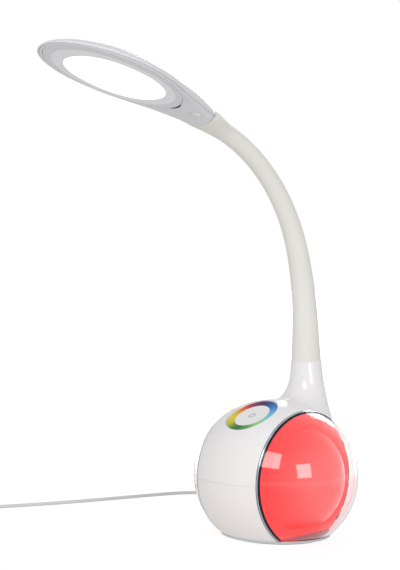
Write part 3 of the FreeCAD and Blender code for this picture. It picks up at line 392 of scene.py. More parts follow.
def neck_row(step, inset, sides=96):
    """A closed row of points round the neck, a number of sections down from its top."""
    sections = neck_sections()
    front, back = (Vector((0, *[read_table([(k, part[i][j]) for k, part in enumerate(sections)], step)
                                for j in (1, 2)])) for i in (0, 1))
    width = read_table([(k, part[2]) for k, part in enumerate(sections)], step)
    middle, reach = (front + back) / 2, (back - front) / 2
    reach = reach * (1 - inset / reach.length)
    turns = [2 * math.pi * i / sides for i in range(sides)]
    return [middle + Vector(((width - inset) * math.cos(turn), 0, 0)) + reach * math.sin(turn) for turn in turns]


def through(work, rows, closed=False):
    """Joins rows of points, each as long as the next, with four-sided faces."""
    rows = [[work.verts.new(point) for point in row] for row in rows]
    if closed:
        rows.append(rows[0])
    faces = []
    for one, other in zip(rows, rows[1:]):
        for i in range(len(one)):
            k = (i + 1) % len(one)
            faces.append((i, work.faces.new((one[i], one[k], other[k], other[i]))))
    return faces


def closed_up(work):
    bmesh.ops.remove_doubles(work, verts=work.verts, dist=1e-6)
    bmesh.ops.dissolve_degenerate(work, edges=work.edges, dist=1e-7)


def finished(name, work, finish, crease=35):
    """Makes an object from mesh work, with its faces turned outwards."""
    bmesh.ops.recalc_face_normals(work, faces=work.faces)
    shade(work, crease)
    mesh = bpy.data.meshes.new(name)
    work.to_mesh(mesh)
    work.free()
    mesh.materials.append(finish.material)
    piece = bpy.data.objects.new(name, mesh)
    bpy.context.scene.collection.objects.link(piece)
    return piece


work = bmesh.new()
steps = [i / 8 for i in range(41)]
rows = [neck_row(step, 0.0) for step in steps] + [neck_row(step, 0.0009) for step in reversed(steps)]
through(work, rows, closed=True)
neck = finished("neck_form", work, shell_white, crease=40)
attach(neck, "base")


# Inside the body are the iron weight, the board on its posts, and the bush and nut
# that hold the arm's foot.

cast_iron = moulded("cast_iron", rgb(62, 62, 64), 0.75, 0.0015, 0.0003).set(Metallic=0.6)
board_green = moulded("board_green", rgb(30, 92, 58), 0.4, 0.0008, 0.00002)
part_black = moulded("part_black", rgb(34, 34, 36), 0.4, 0.0005, 0.00002)
support_grey = moulded("support_grey", rgb(96, 96, 99), 0.5, 0.0005, 0.00003)
wear("ballast", cast_iron)
wear("main_board", board_green)
wear("board_parts", part_black)
wear("board_posts", support_grey)
wear("neck_bush", support_grey)
wear("neck_nut", screw_steel)

# On each side a reflector and a board with lamps stand behind the glowing dome, a
# milky moulding with a flange round its rim. It's lit red, deepest low down.

reflector_white = moulded("reflector_white", rgb(236, 236, 236), 0.25, 0.0008, 0.00001)
lamp_resin = moulded("lamp_resin", rgb(250, 236, 220), 0.3, 0.0005, 0.00001)
for hand in ("right", "left"):
    wear("reflector_" + hand, reflector_white)
    wear("lamp_board_" + hand, board_green)

lamps_each = 5
lamp_circle = 0.014
lamp_aside = 0.02665
lamps = Grower(
    "body_lamps", Case_Width=0.0050, Case_Height=0.0009, Lens_Radius=0.0019, Lens_Height=0.0005)
case = lamps.add("GeometryNodeMeshCube", Size=lamps.add(
    "ShaderNodeCombineXYZ", X=lamps.size("Case Width"), Y=lamps.size("Case Width"), Z=lamps.size("Case Height")))
lens = lamps.add(
    "GeometryNodeMeshCone", Vertices=32, Radius_Top=lamps.sum("MULTIPLY", lamps.size("Lens Radius"), 0.7),
    Radius_Bottom=lamps.size("Lens Radius"), Depth=lamps.size("Lens Height"))
lens = lamps.add("GeometryNodeTransform", Geometry=lens, Translation=lamps.add(
    "ShaderNodeCombineXYZ", Z=lamps.sum("MULTIPLY", lamps.size("Case Height"), 0.5)))
lamp = lamps.add("GeometryNodeJoinGeometry", Geometry=[case, lens])
across = lamps.add("ShaderNodeSeparateXYZ", Vector=lamps.add("GeometryNodeInputPosition"))
facing = lamps.sum("MULTIPLY", lamps.sum("SIGN", across), math.pi / 2)
lamp_turns = [2 * math.pi * i / lamps_each for i in range(lamps_each)]
lamp_points = [
    (side * lamp_aside, lamp_circle * math.sin(turn), body_middle.z + lamp_circle * math.cos(turn))
    for side in (-1, 1) for turn in lamp_turns]
lamp_piece = lamps.grow(
    lamp_points, lamps.spread(lamp, lamps.add("ShaderNodeCombineXYZ", Y=facing)), lamp_resin, "base", "reflector")
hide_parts("colour_lamps")

glow_red = Finish("glow_red", Roughness=0.16, IOR=1.42, Specular_IOR_Level=0.25)
_, glow_y, glow_z = glow_red.axes(glow_red.place())
glow_rise = glow_z - body_middle.z
from_axis = (glow_y * glow_y + glow_rise * glow_rise).combine("SQRT", glow_y * glow_y + glow_rise * glow_rise)
low_glow = 1 - glow_z.ramp_between(0.012, 0.026)
face_colour = glow_red.blend(from_axis.ramp_between(0.014, 0.052), rgb(255, 100, 100), rgb(250, 14, 16))
glow_colour = glow_red.blend(low_glow, face_colour, rgb(250, 1, 2))
cloud = glow_red.noise(0.05, 1.0)
glow_red.set(
    Base_Color=glow_red.blend(cloud * 0.3, rgb(196, 8, 12), rgb(210, 20, 24)),
    Emission_Color=glow_colour, Emission_Strength=0.9)
flange_face = 0.0375
glow_edge = 0.0068
glow_foot = 0.0044
for hand in ("right", "left"):
    glow = kept_form("glow_dome_" + hand, "base", glow_red)
    for vertex in glow.data.vertices:
        if abs(vertex.co.x) > flange_face and vertex.co.z < glow_edge:
            vertex.co.z = glow_foot

# A ring runs round each side: a white lip against the shell, and a dark plated face
# with a painted highlight line along its middle. Its lowest stretch near the table is
# painted with a red glow, as painted light.

ring_metal = Finish("ring_metal")
ring_x, ring_y, ring_z = ring_metal.axes(ring_metal.place())
ring_rise = ring_z - body_middle.z
ring_far = (ring_y * ring_y + ring_rise * ring_rise).combine("SQRT", ring_y * ring_y + ring_rise * ring_rise)
beyond = abs(ring_x)
plated = beyond.ramp_between(0.0352, 0.0354)
# Painted highlight: a bright silver line along the middle of the plated face.
painted_highlight_line = beyond.ramp_between(0.0357, 0.0359) * (1 - beyond.ramp_between(0.0366, 0.0368))
# Painted light: the lowest stretch of the ring, near the table, glows red.
painted_red_glow = (1 - ring_z.ramp_between(0.0066, 0.0070)) * (1 - ring_far.ramp_between(0.0560, 0.0562))
ring_tone = ring_metal.blend(painted_highlight_line, rgb(46, 51, 70), rgb(206, 209, 218))
ring_metal.set(
    Base_Color=ring_metal.blend(plated, rgb(232, 231, 232), ring_tone),
    Emission_Color=ring_metal.blend(painted_red_glow, rgb(0, 0, 0), rgb(250, 2, 2)), Emission_Strength=0.8,
    Metallic=plated, Roughness=0.14 + ring_metal.noise(0.01) * 0.08)
for hand in ("right", "left"):
    kept_form("bezel_" + hand, "base", ring_metal)

# A clear polished dome closes each side and carries on the body's round outline.

dome_clear = Finish("dome_clear", Transmission_Weight=1.0, IOR=1.49)
haze = dome_clear.noise(0.03, 1.0)
dome_clear.set(
    Base_Color=dome_clear.blend(haze, rgb(255, 253, 253), rgb(250, 248, 248)),
    Roughness=haze * 0.03)
for hand in ("right", "left"):
    kept_form("clear_dome_" + hand, "base", dome_clear)

# The touch panel leans forward on the top of the body: a white tray, a ring printed
# with a full circle of colours, and a white disc with a small switch mark.

panel_lean = math.radians(27.4)
panel_axis = Vector((0, -math.sin(panel_lean), math.cos(panel_lean)))
panel_middle = body_middle + panel_axis * 0.0603
ring_colours = [
    (-180, (228, 190, 44)), (-160, (232, 208, 36)), (-135, (200, 194, 34)), (-112, (92, 142, 46)),
    (-90, (42, 106, 50)), (-62, (84, 166, 72)), (-38, (150, 208, 122)), (-10, (140, 210, 196)),
    (20, (98, 184, 226)), (50, (52, 126, 200)), (78, (44, 66, 140)), (100, (52, 34, 84)),
    (124, (130, 38, 76)), (143, (206, 54, 60)), (162, (236, 126, 46)), (180, (228, 190, 44))]


def panel_place(finish):
    """Coordinates in the panel's own plane, from its middle."""
    node = finish.tree.nodes.new("ShaderNodeMapping")
    node.vector_type = "TEXTURE"
    node.inputs["Location"].default_value = panel_middle
    node.inputs["Rotation"].default_value = (panel_lean, 0, 0)
    finish.tree.links.new(finish.place().socket, node.inputs["Vector"])
    return Signal(finish.tree, node.outputs[0])


panel_tip = panel_lean - math.radians(25.5)
panel_sink = 0.0023
opening_reach = 0.036
opening_fade = 0.0115


def flush(piece):
    """Settles a piece of the panel until its face is level with the shell round it."""
    for vertex in piece.data.vertices:
        tipped = Matrix.Rotation(panel_tip, 3, "X") @ (vertex.co - body_middle)
        vertex.co = body_middle + tipped - panel_axis * panel_sink


for vertex in upper_form.data.vertices:
    spot = vertex.co - body_middle
    aside = spot.cross(panel_axis).length
    if spot.dot(panel_axis) > 0 and aside < opening_reach:
        share = min(1, (opening_reach - aside) / opening_fade)
        vertex.co = body_middle + Matrix.Rotation(share * panel_tip, 3, "X") @ spot

tray_white = moulded("tray_white", rgb(232, 232, 234), 0.2, 0.001, 0.00001)
flush(kept_form("touch_tray", "base", tray_white))
flush(kept_form("touch_board", "base", board_green))

ring_print = Finish("ring_print", Specular_IOR_Level=0.15)
across, along, _ = ring_print.axes(panel_place(ring_print))
turn = along.combine("ARCTAN2", along, across) / (2 * math.pi) + 0.5
wheel = ring_print.tree.nodes.new("ShaderNodeValToRGB")
stops = wheel.color_ramp.elements
while len(stops) < len(ring_colours):
    stops.new(0.5)
for stop, (degrees, colour) in zip(stops, ring_colours):
    stop.position = (degrees + 180) / 360
for stop, (degrees, colour) in zip(stops, ring_colours):
    stop.color = rgb(*colour)
ring_print.tree.links.new(turn.socket, wheel.inputs[0])
ring_print.set(
    Base_Color=Signal(ring_print.tree, wheel.outputs[0]),
    Roughness=0.22 + ring_print.noise(0.004) * 0.06)
flush(kept_form("colour_ring", "base", ring_print))

mark_radius = 0.0027
mark_line = 0.00022
disc_print = Finish("disc_print", Specular_IOR_Level=0.3)
across, along, _ = disc_print.axes(panel_place(disc_print))
far = (across * across + along * along).combine("SQRT", across * across + along * along)
on_ring = 1 - abs(far - mark_radius).ramp_between(mark_line, mark_line * 1.8)
broken = abs(across).ramp_between(0.0006, 0.0008)
upper = along.ramp_between(-0.0001, 0.0001)
open_ring = on_ring * (1 - upper * (1 - broken))
in_bar = (1 - abs(across).ramp_between(mark_line, mark_line * 1.8)) * (
    along.ramp_between(0.0006, 0.0008) * (1 - along.ramp_between(0.0030, 0.0032)))
mark = open_ring.combine("MAXIMUM", open_ring, in_bar)
disc_print.set(
    Base_Color=disc_print.blend(mark, rgb(238, 237, 238), rgb(120, 120, 124)),
    Roughness=0.2 + disc_print.noise(0.004) * 0.05)
flush(kept_form("touch_panel", "base", disc_print))

# The arm's core is a chain of ball links in brushed steel. The sleeve hides it.

link_steel = moulded("link_steel", rgb(168, 168, 172), 0.3, 0.0004, 0.00002).set(Metallic=1.0)
for name in ("arm_core_base", "arm_core_root", "arm_core_lower", "arm_core_middle", "arm_core_tip"):
    wear(name, link_steel)

# The sleeve is one soft warm-white moulding, thick at the neck and thinner towards
# the head, where it widens into an oval.

arm_lean = math.radians(2.0)
arm_start = Vector((0, 0.0384, 0.1475))
arm_straight = 0.031
lower_bend = (0.280, math.radians(15.4))
upper_bend = (0.152, math.radians(72.4))
lower_start = arm_straight
upper_start = lower_start + lower_bend[0] * (lower_bend[1] - arm_lean)
arm_length = upper_start + upper_bend[0] * (upper_bend[1] - lower_bend[1])


def heading(angle):
    return Vector((0, -math.sin(angle), math.cos(angle)))


def bent(point, angle, radius, distance):
    """Where an arc that starts at a point has got to, and its heading there."""
    last = angle + distance / radius
    step = Vector((0, radius * (math.cos(last) - math.cos(angle)), radius * (math.sin(last) - math.sin(angle))))
    return point + step, last


def arm_at(distance):
    if distance <= arm_straight:
        return arm_start + heading(arm_lean) * distance, arm_lean
    point, angle = arm_start + heading(arm_lean) * arm_straight, arm_lean
    if distance <= upper_start:
        return bent(point, angle, lower_bend[0], distance - lower_start)
    point, angle = bent(point, angle, lower_bend[0], upper_start - lower_start)
    if distance <= arm_length:
        return bent(point, angle, upper_bend[0], distance - upper_start)
    point, angle = bent(point, angle, upper_bend[0], arm_length - upper_start)
    return point + heading(angle) * (distance - arm_length), angle


sleeve_bore = 0.0068
sleeve_tip_bore = 0.0046
sleeve_end = arm_length + 0.0145
flare_length = 0.034
flare_wide = 0.0183
flare_high = 0.0081
flare_rise = 0.0016
thin_radius = 0.0074
extra_radius = 0.0057
taper_length = 0.090


def eased(share):
    """A share of 0 to 1 that starts and ends gently."""
    return share * share * (3 - 2 * share)


def flare_share(distance):
    return eased(max(0.0, (distance - (sleeve_end - flare_length)) / flare_length))


def sleeve_size(distance):
    """Half width and half height of the sleeve's section."""
    plain = thin_radius + extra_radius * math.exp(-distance / taper_length)
    share = flare_share(distance)
    return plain + (flare_wide - plain) * share, plain + (flare_high - plain) * share


def bore_size(distance):
    share = min(1.0, max(0.0, (distance - arm_length + 0.012) / 0.008))
    return sleeve_bore + (sleeve_tip_bore - sleeve_bore) * share


def ring_at(work, distance, wide, high, sides=72):
    point, angle = arm_at(distance)
    up = Vector((0, -math.cos(angle), -math.sin(angle)))
    spots = []
    for i in range(sides):
        turn = 2 * math.pi * i / sides
        off = up * (math.sin(turn) * high - flare_rise * flare_share(distance))
        spots.append(work.verts.new(point + Vector((math.cos(turn) * wide, 0, 0)) + off))
    return spots


def bridge(work, one, other):
    for i in range(len(one)):
        k = (i + 1) % len(one)
        work.faces.new((one[i], one[k], other[k], other[i]))


sleeve_skin = Finish("sleeve_skin")
skin_grain = sleeve_skin.noise(0.0005)
skin_broad = sleeve_skin.noise(0.03, 2.0)
sleeve_skin.set(
    Base_Color=sleeve_skin.blend(skin_broad, rgb(233, 231, 225), rgb(226, 224, 217)),
    Roughness=0.62 + skin_broad * 0.08, Sheen_Weight=0.15, Sheen_Roughness=0.4)
sleeve_skin.relief(skin_grain, 0.00005)

sleeve_parts = [
    ("sleeve_root", 0.0, 0.040, "base", "arm_root", 0.006, 0.038),
    ("sleeve_lower", 0.040, 0.096, "arm_root", "arm_lower", 0.042, 0.082),
    ("sleeve_middle", 0.096, 0.176, "arm_lower", "arm_middle", 0.110, 0.170),
    ("sleeve_upper", 0.176, sleeve_end - 0.0002, "arm_middle", "head", 0.180, 0.240)]
for name, first, last, near_body, far_body, bend_start, bend_end in sleeve_parts:
    work = bmesh.new()
    steps = max(8, round((last - first) / 0.002))
    marks = [first + (last - first) * i / steps for i in range(steps + 1)]
    rings = [ring_at(work, mark, *sleeve_size(mark)) for mark in marks]
    rings += [ring_at(work, mark, bore_size(mark), bore_size(mark)) for mark in reversed(marks)]
    for one, other in zip(rings, rings[1:] + rings[:1]):
        bridge(work, one, other)
    sleeve = finished(name + "_skin", work, sleeve_skin)
    arm_at(bend_start)[0]
    arm_at(bend_end)[0]
    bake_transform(sleeve)
    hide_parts(name)

# The head's cover is a slim white shell, oval in front and drawn in to a narrow root
# that the sleeve butts against. Its edge is the parting line round the underside.

head_lean = math.radians(17.6)
head_middle = Vector((0, -0.1754, 0.3775))
head_turn = Matrix.Rotation(-head_lean, 3, "X")
front_centre = -0.006
front_length = 0.0605
half_width = 0.0495
root_end = 0.092
cover_wall = 0.0013
width_table = [(-0.032, 0.0458), (-0.006, 0.0495), (0.020, 0.0460), (0.040, 0.0388), (0.060, 0.0308),
               (0.075, 0.0242), (0.083, 0.0210), (0.092, 0.0183)]
crown_table = [(-0.0665, 0.0115), (-0.040, 0.0121), (-0.006, 0.0134), (0.020, 0.0163), (0.040, 0.0186),
               (0.060, 0.0184), (0.075, 0.0158), (0.083, 0.0130), (0.092, 0.0081)]
rim_table = [(-0.0665, 0.0006), (-0.040, 0.0012), (0.0, 0.0016), (0.040, 0.0018), (0.060, 0.0025),
             (0.075, 0.0033), (0.092, 0.0040)]


def in_head(across, along, level):
    return head_middle + head_turn @ Vector((across, along, level))


def front_share(along, inset=0.0):
    """1 over the head's length, falling to 0 as its oval front rounds to the tip."""
    forward = max(0.0, front_centre - along) / (front_length - inset)
    return math.sqrt(max(0.0, 1 - forward * forward))


def plan_width(along):
    if along < front_centre:
        return half_width * front_share(along)
    return read_table(width_table, along)


def rim_level(along):
    return read_table(rim_table, along)


def stations(inset, front_steps=40, back_steps=80, end=root_end):
    """Places along the head from its tip to its root, with the width and height there."""
    found = []
    for i in range(front_steps):
        turn = math.pi / 2 * i / front_steps
        along = front_centre - (front_length - inset) * math.cos(turn)
        high = (read_table(crown_table, along) - inset) * math.sin(turn)
        found.append((along, (half_width - inset) * math.sin(turn), high))
    for i in range(back_steps + 1):
        along = front_centre + (end - front_centre) * i / back_steps
        found.append((along, plan_width(along) - inset, read_table(crown_table, along) - inset))
    return found


def arc_over(along, wide, high, steps=56):
    """Points over the head from one side of the rim to the other."""
    turns = [math.pi * i / steps for i in range(steps + 1)]
    return [in_head(wide * math.cos(turn), along, rim_level(along) + high * math.sin(turn)) for turn in turns]


def arm_notch(along, steps=56):
    """The arc of the arm's hole above the rim."""
    radius, level = 0.0056, 0.0024
    low = math.asin((rim_level(along) - level) / radius)
    turns = [low + (math.pi - 2 * low) * i / steps for i in range(steps + 1)]
    return [in_head(radius * math.cos(turn), along, level + radius * math.sin(turn)) for turn in turns]


head_white = Finish("head_white", Specular_IOR_Level=0.3)
soft = head_white.noise(0.02, 1.0)
head_white.set(
    Base_Color=head_white.blend(soft, rgb(222, 222, 224), rgb(216, 216, 218)),
    Roughness=0.17 + soft * 0.05)
work = bmesh.new()
inner_end = root_end - cover_wall
rows = [arc_over(*outer) + arc_over(*inner)[::-1]
        for outer, inner in zip(stations(0.0), stations(cover_wall, end=inner_end))]
end_arc = arc_over(*stations(0.0)[-1])
rows.append(end_arc + arm_notch(inner_end)[::-1])
rows.append(end_arc + arm_notch(root_end)[::-1])
through(work, rows)
closed_up(work)
cover = finished("head_cover_form", work, head_white, crease=50)
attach(cover, "head")
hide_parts("head_cover")

# The housing closes the cover from below with a hairline round it. It swells towards
# the arm, and the faces of a shallow slot beside the bezel are painted near black, as
# painted shadow.

bezel_width = 0.045
bezel_length = 0.0615
bezel_middle = -0.0015
housing_inset = 0.0016
hairline = 0.00025
slot_middle = 0.0072
slot_half = 0.0082
slot_wide = 0.0015
slot_depth = 0.0016
depth_table = [(-0.0665, 0.0014), (-0.020, 0.0020), (0.020, 0.0022), (0.048, 0.0025), (0.060, 0.0034),
               (0.075, 0.0060), (0.083, 0.0073), (0.092, 0.0081)]
# Painted shadow: a near-black finish for the slot's faces.
painted_shadow_slot = moulded("painted_shadow_slot", rgb(30, 30, 33), 0.6, 0.0005, 0.00002)


def underside(across, along):
    """The level of the housing's face, flat in front and rounded to a keel at the root."""
    if along < front_centre:
        forward = (front_centre - along) / (front_length - housing_inset)
        share = math.hypot(across / (half_width - housing_inset), forward)
    else:
        share = abs(across) / (plan_width(along) - housing_inset)
    squareness = 3.4 - 1.4 * min(1.0, max(0.0, (along - 0.035) / 0.045))
    drop = max(0.0, 1 - min(1.0, share) ** squareness) ** (1 / squareness)
    return rim_level(along) - read_table(depth_table, along) * drop


def oval_at(turn, wide, length, middle=0.0, power=2.0):
    """A point of an oval in the head's plane; a power over 2 makes it squarer."""
    across, along = math.sin(turn), math.cos(turn)
    size = (abs(across) ** power + abs(along) ** power) ** (-1 / power)
    return wide * across * size, middle + length * along * size


edge = []
for along, wide, _ in stations(housing_inset, 90, 150):
    edge.append((wide, along))
edge += [(share * edge[-1][0], edge[-1][1]) for share in (0.75, 0.5, 0.25, 0.0)]
edge += [(-across, along) for across, along in reversed(edge[1:-1])]
work = bmesh.new()
rows = []
for across, along in edge:
    turn = math.atan2(across / bezel_width, (along - bezel_middle) / bezel_length)
    hole = oval_at(turn, bezel_width + hairline, bezel_length + hairline, bezel_middle)
    run = Vector((across - hole[0], along - hole[1]))
    away = run.normalized()
    off_middle = (hole[0] - slot_middle) / slot_half
    slot = slot_wide * math.sqrt(max(0.0, 1 - off_middle ** 2)) if along > 0 else 0.0
    slot = min(slot, run.length * 0.5)
    deep = slot_depth if slot > 0.0002 else 0.0
    start = hairline if slot > 0 else 0.0
    spots = [(0.0, 0.0), (start, 0.0), (start, deep), (start + slot, deep), (start + slot, 0.0)]
    spots += [(start + slot + (run.length - start - slot) * i / 10, 0.0) for i in range(1, 11)]
    row = []
    for reach, lift in spots:
        x, y = hole[0] + away.x * reach, hole[1] + away.y * reach
        row.append(in_head(x, y, underside(x, y) + lift))
    row.append(in_head(across, along, rim_level(along) + 0.001))
    row.append(in_head(hole[0], hole[1], underside(*hole) + 0.0026))
    rows.append(row)
# The slot's walls and floor take the painted shadow.
for i, face in through(work, rows, closed=True):
    face.material_index = 1 if 1 <= i <= 3 else 0
closed_up(work)
housing = finished("head_housing_form", work, head_white, crease=40)
housing.data.materials.append(painted_shadow_slot.material)
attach(housing, "head")
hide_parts("head_housing")

# The bezel is a pearly ring that runs in to the lit panel: a hollow outside, painted
# darker as painted shade, and a bright flat band inside. The panel is a milky sheet, a
# little squarer than an oval.

panel_width = 0.0343
panel_length = 0.0426
panel_level = -0.0004
panel_gap = 0.0002
panel_power = 2.15
sheet_wall = 0.0014
bezel_wall = 0.0016
around = [2 * math.pi * i / 240 for i in range(240)]
pearl = Finish("pearl", Coat_Weight=0.3, Coat_Roughness=0.06)
cloudy = pearl.noise(0.012, 2.0)
pearl.set(Base_Color=pearl.blend(cloudy, rgb(238, 238, 239), rgb(232, 232, 234)), Roughness=0.22 + cloudy * 0.05)
# A darker copy of the pearl: painted shade for the bezel's hollow.
pearl_painted_shade = Finish("pearl_painted_shade", Coat_Weight=0.5, Coat_Roughness=0.05)
cloudy = pearl_painted_shade.noise(0.012, 2.0)
pearl_painted_shade.set(
    Base_Color=pearl_painted_shade.blend(cloudy, rgb(214, 215, 218), rgb(208, 209, 212)), Roughness=0.18 + cloudy * 0.05)
work = bmesh.new()
rows = []
profile = [0.0, 0.012] + [0.04 + 0.96 * i / 16 for i in range(17)]
for turn in around:
    outer = Vector(oval_at(turn, bezel_width, bezel_length, bezel_middle))
    inner = Vector(oval_at(turn, panel_width + panel_gap, panel_length + panel_gap, 0.0, panel_power))
    row = []
    for share in profile:
        spot = outer.lerp(inner, share)
        row.append(in_head(spot.x, spot.y, underside(spot.x, spot.y) + (0.0002 if share == 0 else 0.0)))
    row.append(in_head(inner.x, inner.y, bezel_wall))
    row.append(in_head(outer.x, outer.y, underside(outer.x, outer.y) + bezel_wall))
    rows.append(row)
for i, face in through(work, rows, closed=True):
    # The hollow's faces take the darker pearl, as painted shade.
    face.material_index = 1 if i < 8 else 0
bezel = finished("head_bezel_form", work, pearl, crease=30)
bezel.data.materials.append(pearl_painted_shade.material)
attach(bezel, "head")
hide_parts("head_bezel")

panel_light = Finish("panel_light", Roughness=0.35)
speck = panel_light.noise(0.0006, 1.0)
panel_light.set(
    Base_Color=panel_light.blend(speck, rgb(250, 250, 250), rgb(244, 244, 245)),
    Emission_Color=panel_light.blend(speck, rgb(255, 255, 255), rgb(252, 252, 252)), Emission_Strength=1.0)
work = bmesh.new()
rows = []
for turn in around:
    row = [in_head(0, 0, panel_level)]
    for share in (0.3, 0.6, 0.85, 0.97, 1.0):
        spot = oval_at(turn, panel_width * share, panel_length * share, 0.0, panel_power)
        row.append(in_head(*spot, panel_level + (0.0002 if share == 1.0 else 0.0)))
    row.append(in_head(*oval_at(turn, panel_width, panel_length, 0.0, panel_power), panel_level + sheet_wall))
    row.append(in_head(0, 0, panel_level + sheet_wall))
    rows.append(row)
through(work, rows, closed=True)
closed_up(work)
panel = finished("light_panel_form", work, panel_light, crease=30)
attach(panel, "head")
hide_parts("light_panel")

# Over the panel lie the light guide, its lamps, a mirror sheet and a back plate. The
# button, its switch and board, and the clamp on the arm stand in the root.


def seated(piece, shift=(0, 0, 0), squeeze=(1, 1, 1)):
    """Settles a form of the head's in the slim cover, by a shift and a squeeze."""
    source = Vector((0, -0.175697, 0.374871))
    back = head_turn.transposed()
    for vertex in piece.data.vertices:
        spot = back @ (vertex.co - source)
        vertex.co = in_head(*[spot[i] * squeeze[i] + shift[i] for i in range(3)])
    return piece


button_white = moulded("button_white", rgb(220, 221, 224), 0.2, 0.0008, 0.00001)
guide_clear = moulded("guide_clear", rgb(238, 240, 243), 0.2, 0.001, 0.00001)
plate_metal = moulded("plate_metal", rgb(196, 198, 202), 0.35, 0.0006, 0.00001).set(Metallic=1.0)
oval_squeeze = (panel_width / 0.041, panel_length / 0.041, 1)
for name, slot, finish, shift, squeeze in (
        ("light_guide", "reflector", guide_clear, (0, 0, 0.0008), oval_squeeze),
        ("lamp_strip", "board", board_green, (0, 0, 0.0008), oval_squeeze),
        ("mirror_sheet", "steel", plate_metal, (0, 0, 0.0008), oval_squeeze),
        ("back_plate", "steel", plate_metal, (0, 0, 0.0008), oval_squeeze),
        ("button_switch", "board", part_black, (0.004, -0.0018, -0.001), (1, 1, 1)),
        ("head_board", "board", board_green, (0, -0.004, 0), (0.8, 1, 1)),
        ("arm_clamp", "steel", support_grey, (0, -0.0125, -0.0028), (0.9, 1, 0.9)),
        ("clamp_screws", "steel", screw_steel, (0, -0.0125, -0.0028), (0.9, 1, 0.9))):
    seated(kept_form(name, "head", finish), shift, squeeze)
seated(kept_form("head_button", "head_button", button_white), (0.004, -0.0018, -0.0014))

# The cord leaves the back of the body through a ribbed boot, comes down to the table
# and runs off to the left, where the rest of it is wound up beside its plug.

cord_plastic = moulded("cord_plastic", rgb(216, 217, 220), 0.42, 0.0008, 0.00003)
boot_plastic = moulded("boot_plastic", rgb(224, 224, 227), 0.5, 0.0006, 0.00004)
contact_metal = moulded("contact_metal", rgb(198, 199, 203), 0.22, 0.0004, 0.00001).set(Metallic=1.0)
boot_piece = kept_form("cord_boot", "base", boot_plastic)
grip_piece = kept_form("plug_grip", "base", boot_plastic)
contact_piece = kept_form("plug_contact", "base", contact_metal)

cord_diameter = 0.0032
rest = 0.0017
exit_y = 0.078
cord_route = [
    (0, exit_y, 0.014), (-0.0005, exit_y + 0.012, 0.014), (-0.008, exit_y + 0.023, 0.008),
    (-0.020, exit_y + 0.036, 0.0026), (-0.036, exit_y + 0.049, rest), (-0.065, exit_y + 0.058, rest),
    (-0.104, exit_y + 0.062, rest), (-0.148, exit_y + 0.050, rest), (-0.186, exit_y + 0.032, rest),
    (-0.213, exit_y + 0.007, rest), (-0.226, 0.048, rest), (-0.237, 0.008, rest), (-0.250, -0.034, rest),
    (-0.268, -0.078, rest), (-0.290, -0.122, rest)]
turns = 9
layer_turns = turns / 2
points_per_turn = 16
pitch = cord_diameter + 0.00055
coil_outer = 0.0352 / 2 + pitch * layer_turns / 2
coil_start = Vector(cord_route[-1])
coil_heading = (coil_start - Vector(cord_route[-2])).normalized()
to_hub = coil_heading.cross(Vector((0, 0, 1)))
coil_hub = coil_start + coil_heading * cord_diameter + to_hub * coil_outer
first_angle = math.atan2(-to_hub.y, -to_hub.x)
climb_half = 0.25


def coil_point(done):
    """The coil spirals in on the table and out again on top."""
    radius = coil_outer - pitch * min(done, turns - done)
    angle = first_angle - 2 * math.pi * done
    climbed = min(max((done - (layer_turns - climb_half)) / (2 * climb_half), 0.0), 1.0)
    return coil_hub + Vector((radius * math.cos(angle), radius * math.sin(angle), pitch * eased(climbed)))


route = [Vector(point) for point in cord_route]
route += [coil_point(i / points_per_turn) for i in range(1, turns * points_per_turn)]
leaving = (coil_point(turns) - coil_point(turns - 0.002)).normalized()
coil_end = coil_point(turns) + leaving * cord_diameter
tail = 0.026
drop = coil_end.z - 0.004
aside = leaving.cross(Vector((0, 0, 1)))
down = Vector((0, 0, -drop))
route += [
    coil_point(turns), coil_end + leaving * (tail * 0.3),
    coil_end + leaving * (tail * 0.68) + down - aside * (tail * 0.04),
    coil_end + leaving * tail + down - aside * (tail * 0.1)]
curve = bpy.data.curves.new("cord_line", "CURVE")
curve.dimensions = "3D"
curve.bevel_depth = cord_diameter / 2
curve.bevel_resolution = 4
curve.use_fill_caps = True
curve.resolution_u = 6
spline = curve.splines.new("NURBS")
spline.points.add(len(route) - 1)
for spot, place in zip(spline.points, route):
    spot.co = (*place, 1.0)
spline.order_u = 3
spline.use_endpoint_u = True
curve.materials.append(cord_plastic.material)
cord = bpy.data.objects.new("cord_line", curve)
bpy.context.scene.collection.objects.link(cord)
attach(cord, "base")
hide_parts("cord", "cord_coil", "cord_tail")

# The lamp stands on a white sweep that fades into a white surround. Three soft boxes
# light it, two of which mirror in the near dome, and it's seen from its right-hand front.

floor_mesh = bpy.data.meshes.new("sweep")
half = 6.0
corners = [(-half, -half, 0), (half, -half, 0), (half, half, 0), (-half, half, 0)]
floor_mesh.from_pydata(corners, [], [(0, 1, 2, 3)])
floor = bpy.data.objects.new("sweep", floor_mesh)
bpy.context.scene.collection.objects.link(floor)
sweep = Finish("sweep_white", Base_Color=rgb(112, 112, 112), Roughness=0.9)
sweep_x, sweep_y, _ = sweep.axes(sweep.place())
far = (sweep_x * sweep_x + sweep_y * sweep_y).combine("SQRT", sweep_x * sweep_x + sweep_y * sweep_y)
paths = sweep.tree.nodes.new("ShaderNodeLightPath")
seen = Signal(sweep.tree, paths.outputs["Is Camera Ray"])
seen = seen.combine("MAXIMUM", seen, Signal(sweep.tree, paths.outputs["Is Transmission Ray"]))
white = sweep.tree.nodes.new("ShaderNodeEmission")
add = sweep.tree.nodes.new("ShaderNodeMixShader")
sweep.tree.links.new((seen * far.ramp_between(0.25, 0.9)).socket, add.inputs[0])
sweep.tree.links.new(sweep.shader.outputs[0], add.inputs[1])
sweep.tree.links.new(white.outputs[0], add.inputs[2])
lift = sweep.tree.nodes.new("ShaderNodeEmission")
sweep.tree.links.new((seen * 0.32 + 0.54).socket, lift.inputs["Strength"])
both = sweep.tree.nodes.new("ShaderNodeAddShader")
sweep.tree.links.new(add.outputs[0], both.inputs[0])
sweep.tree.links.new(lift.outputs[0], both.inputs[1])
sweep.tree.links.new(both.outputs[0], sweep.tree.nodes["Material Output"].inputs["Surface"])
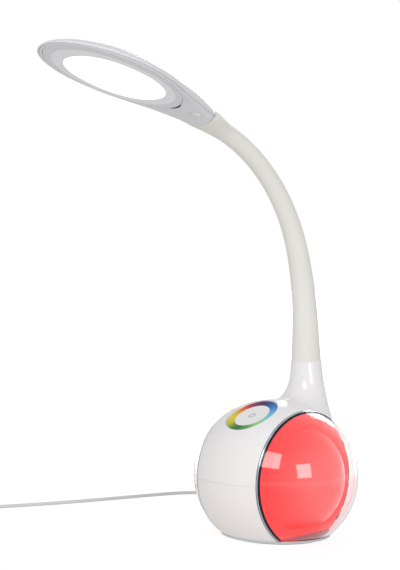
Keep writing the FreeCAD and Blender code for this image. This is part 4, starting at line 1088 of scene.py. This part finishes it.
floor_mesh.materials.append(sweep.material)

world = bpy.data.worlds.new("surround")
bpy.context.scene.world = world
world.use_nodes = True
ground = world.node_tree.nodes["Background"]
ground.inputs["Color"].default_value = (1, 1, 1, 1)
sky_paths = world.node_tree.nodes.new("ShaderNodeLightPath")
sky_seen = Signal(world.node_tree, sky_paths.outputs["Is Camera Ray"])
sky_seen = sky_seen.combine("MAXIMUM", sky_seen, Signal(world.node_tree, sky_paths.outputs["Is Transmission Ray"]))
sky_mirrored = Signal(world.node_tree, sky_paths.outputs["Is Glossy Ray"])
world.node_tree.links.new((sky_seen * 0.45 + 0.55 + sky_mirrored * 0.17).socket, ground.inputs["Strength"])


def soft_box(name, place, target, wide, watts):
    lamp = bpy.data.lights.new(name, "AREA")
    lamp.shape = "RECTANGLE"
    lamp.size = wide
    lamp.size_y = wide
    lamp.energy = watts
    box = bpy.data.objects.new(name, lamp)
    box.location = place
    box.rotation_euler = (Vector(target) - Vector(place)).to_track_quat("-Z", "Y").to_euler()
    bpy.context.scene.collection.objects.link(box)


soft_box("box_left", (0.43, -1.16, 0.83), (0.04, -0.05, 0.07), 0.60, 5.0)
soft_box("box_right", (1.32, -0.49, 0.49), (0.06, -0.03, 0.06), 0.56, 4.5)
soft_box("box_back", (-0.8, 1.35, 0.95), (0, 0, 0.1), 0.8, 6.0)

picture_width = 400
picture_height = 570
vanishing_point = (275.3, 255.0)
lens_pixels = 1436.8
camera_data = bpy.data.cameras.new("camera")
camera_data.sensor_width = 36
camera_data.lens = lens_pixels / picture_height * camera_data.sensor_width
camera_data.shift_x = (picture_width / 2 - vanishing_point[0]) / picture_height
camera_data.shift_y = (vanishing_point[1] - picture_height / 2) / picture_height
camera_data.clip_start = 0.05
camera = bpy.data.objects.new("camera", camera_data)
camera.location = (0.8737, -0.8737, 0.2406)
camera.rotation_euler = (math.radians(90), 0, math.radians(45))
bpy.context.scene.collection.objects.link(camera)
bpy.context.scene.camera = camera
bpy.context.scene.view_settings.view_transform = "Standard"
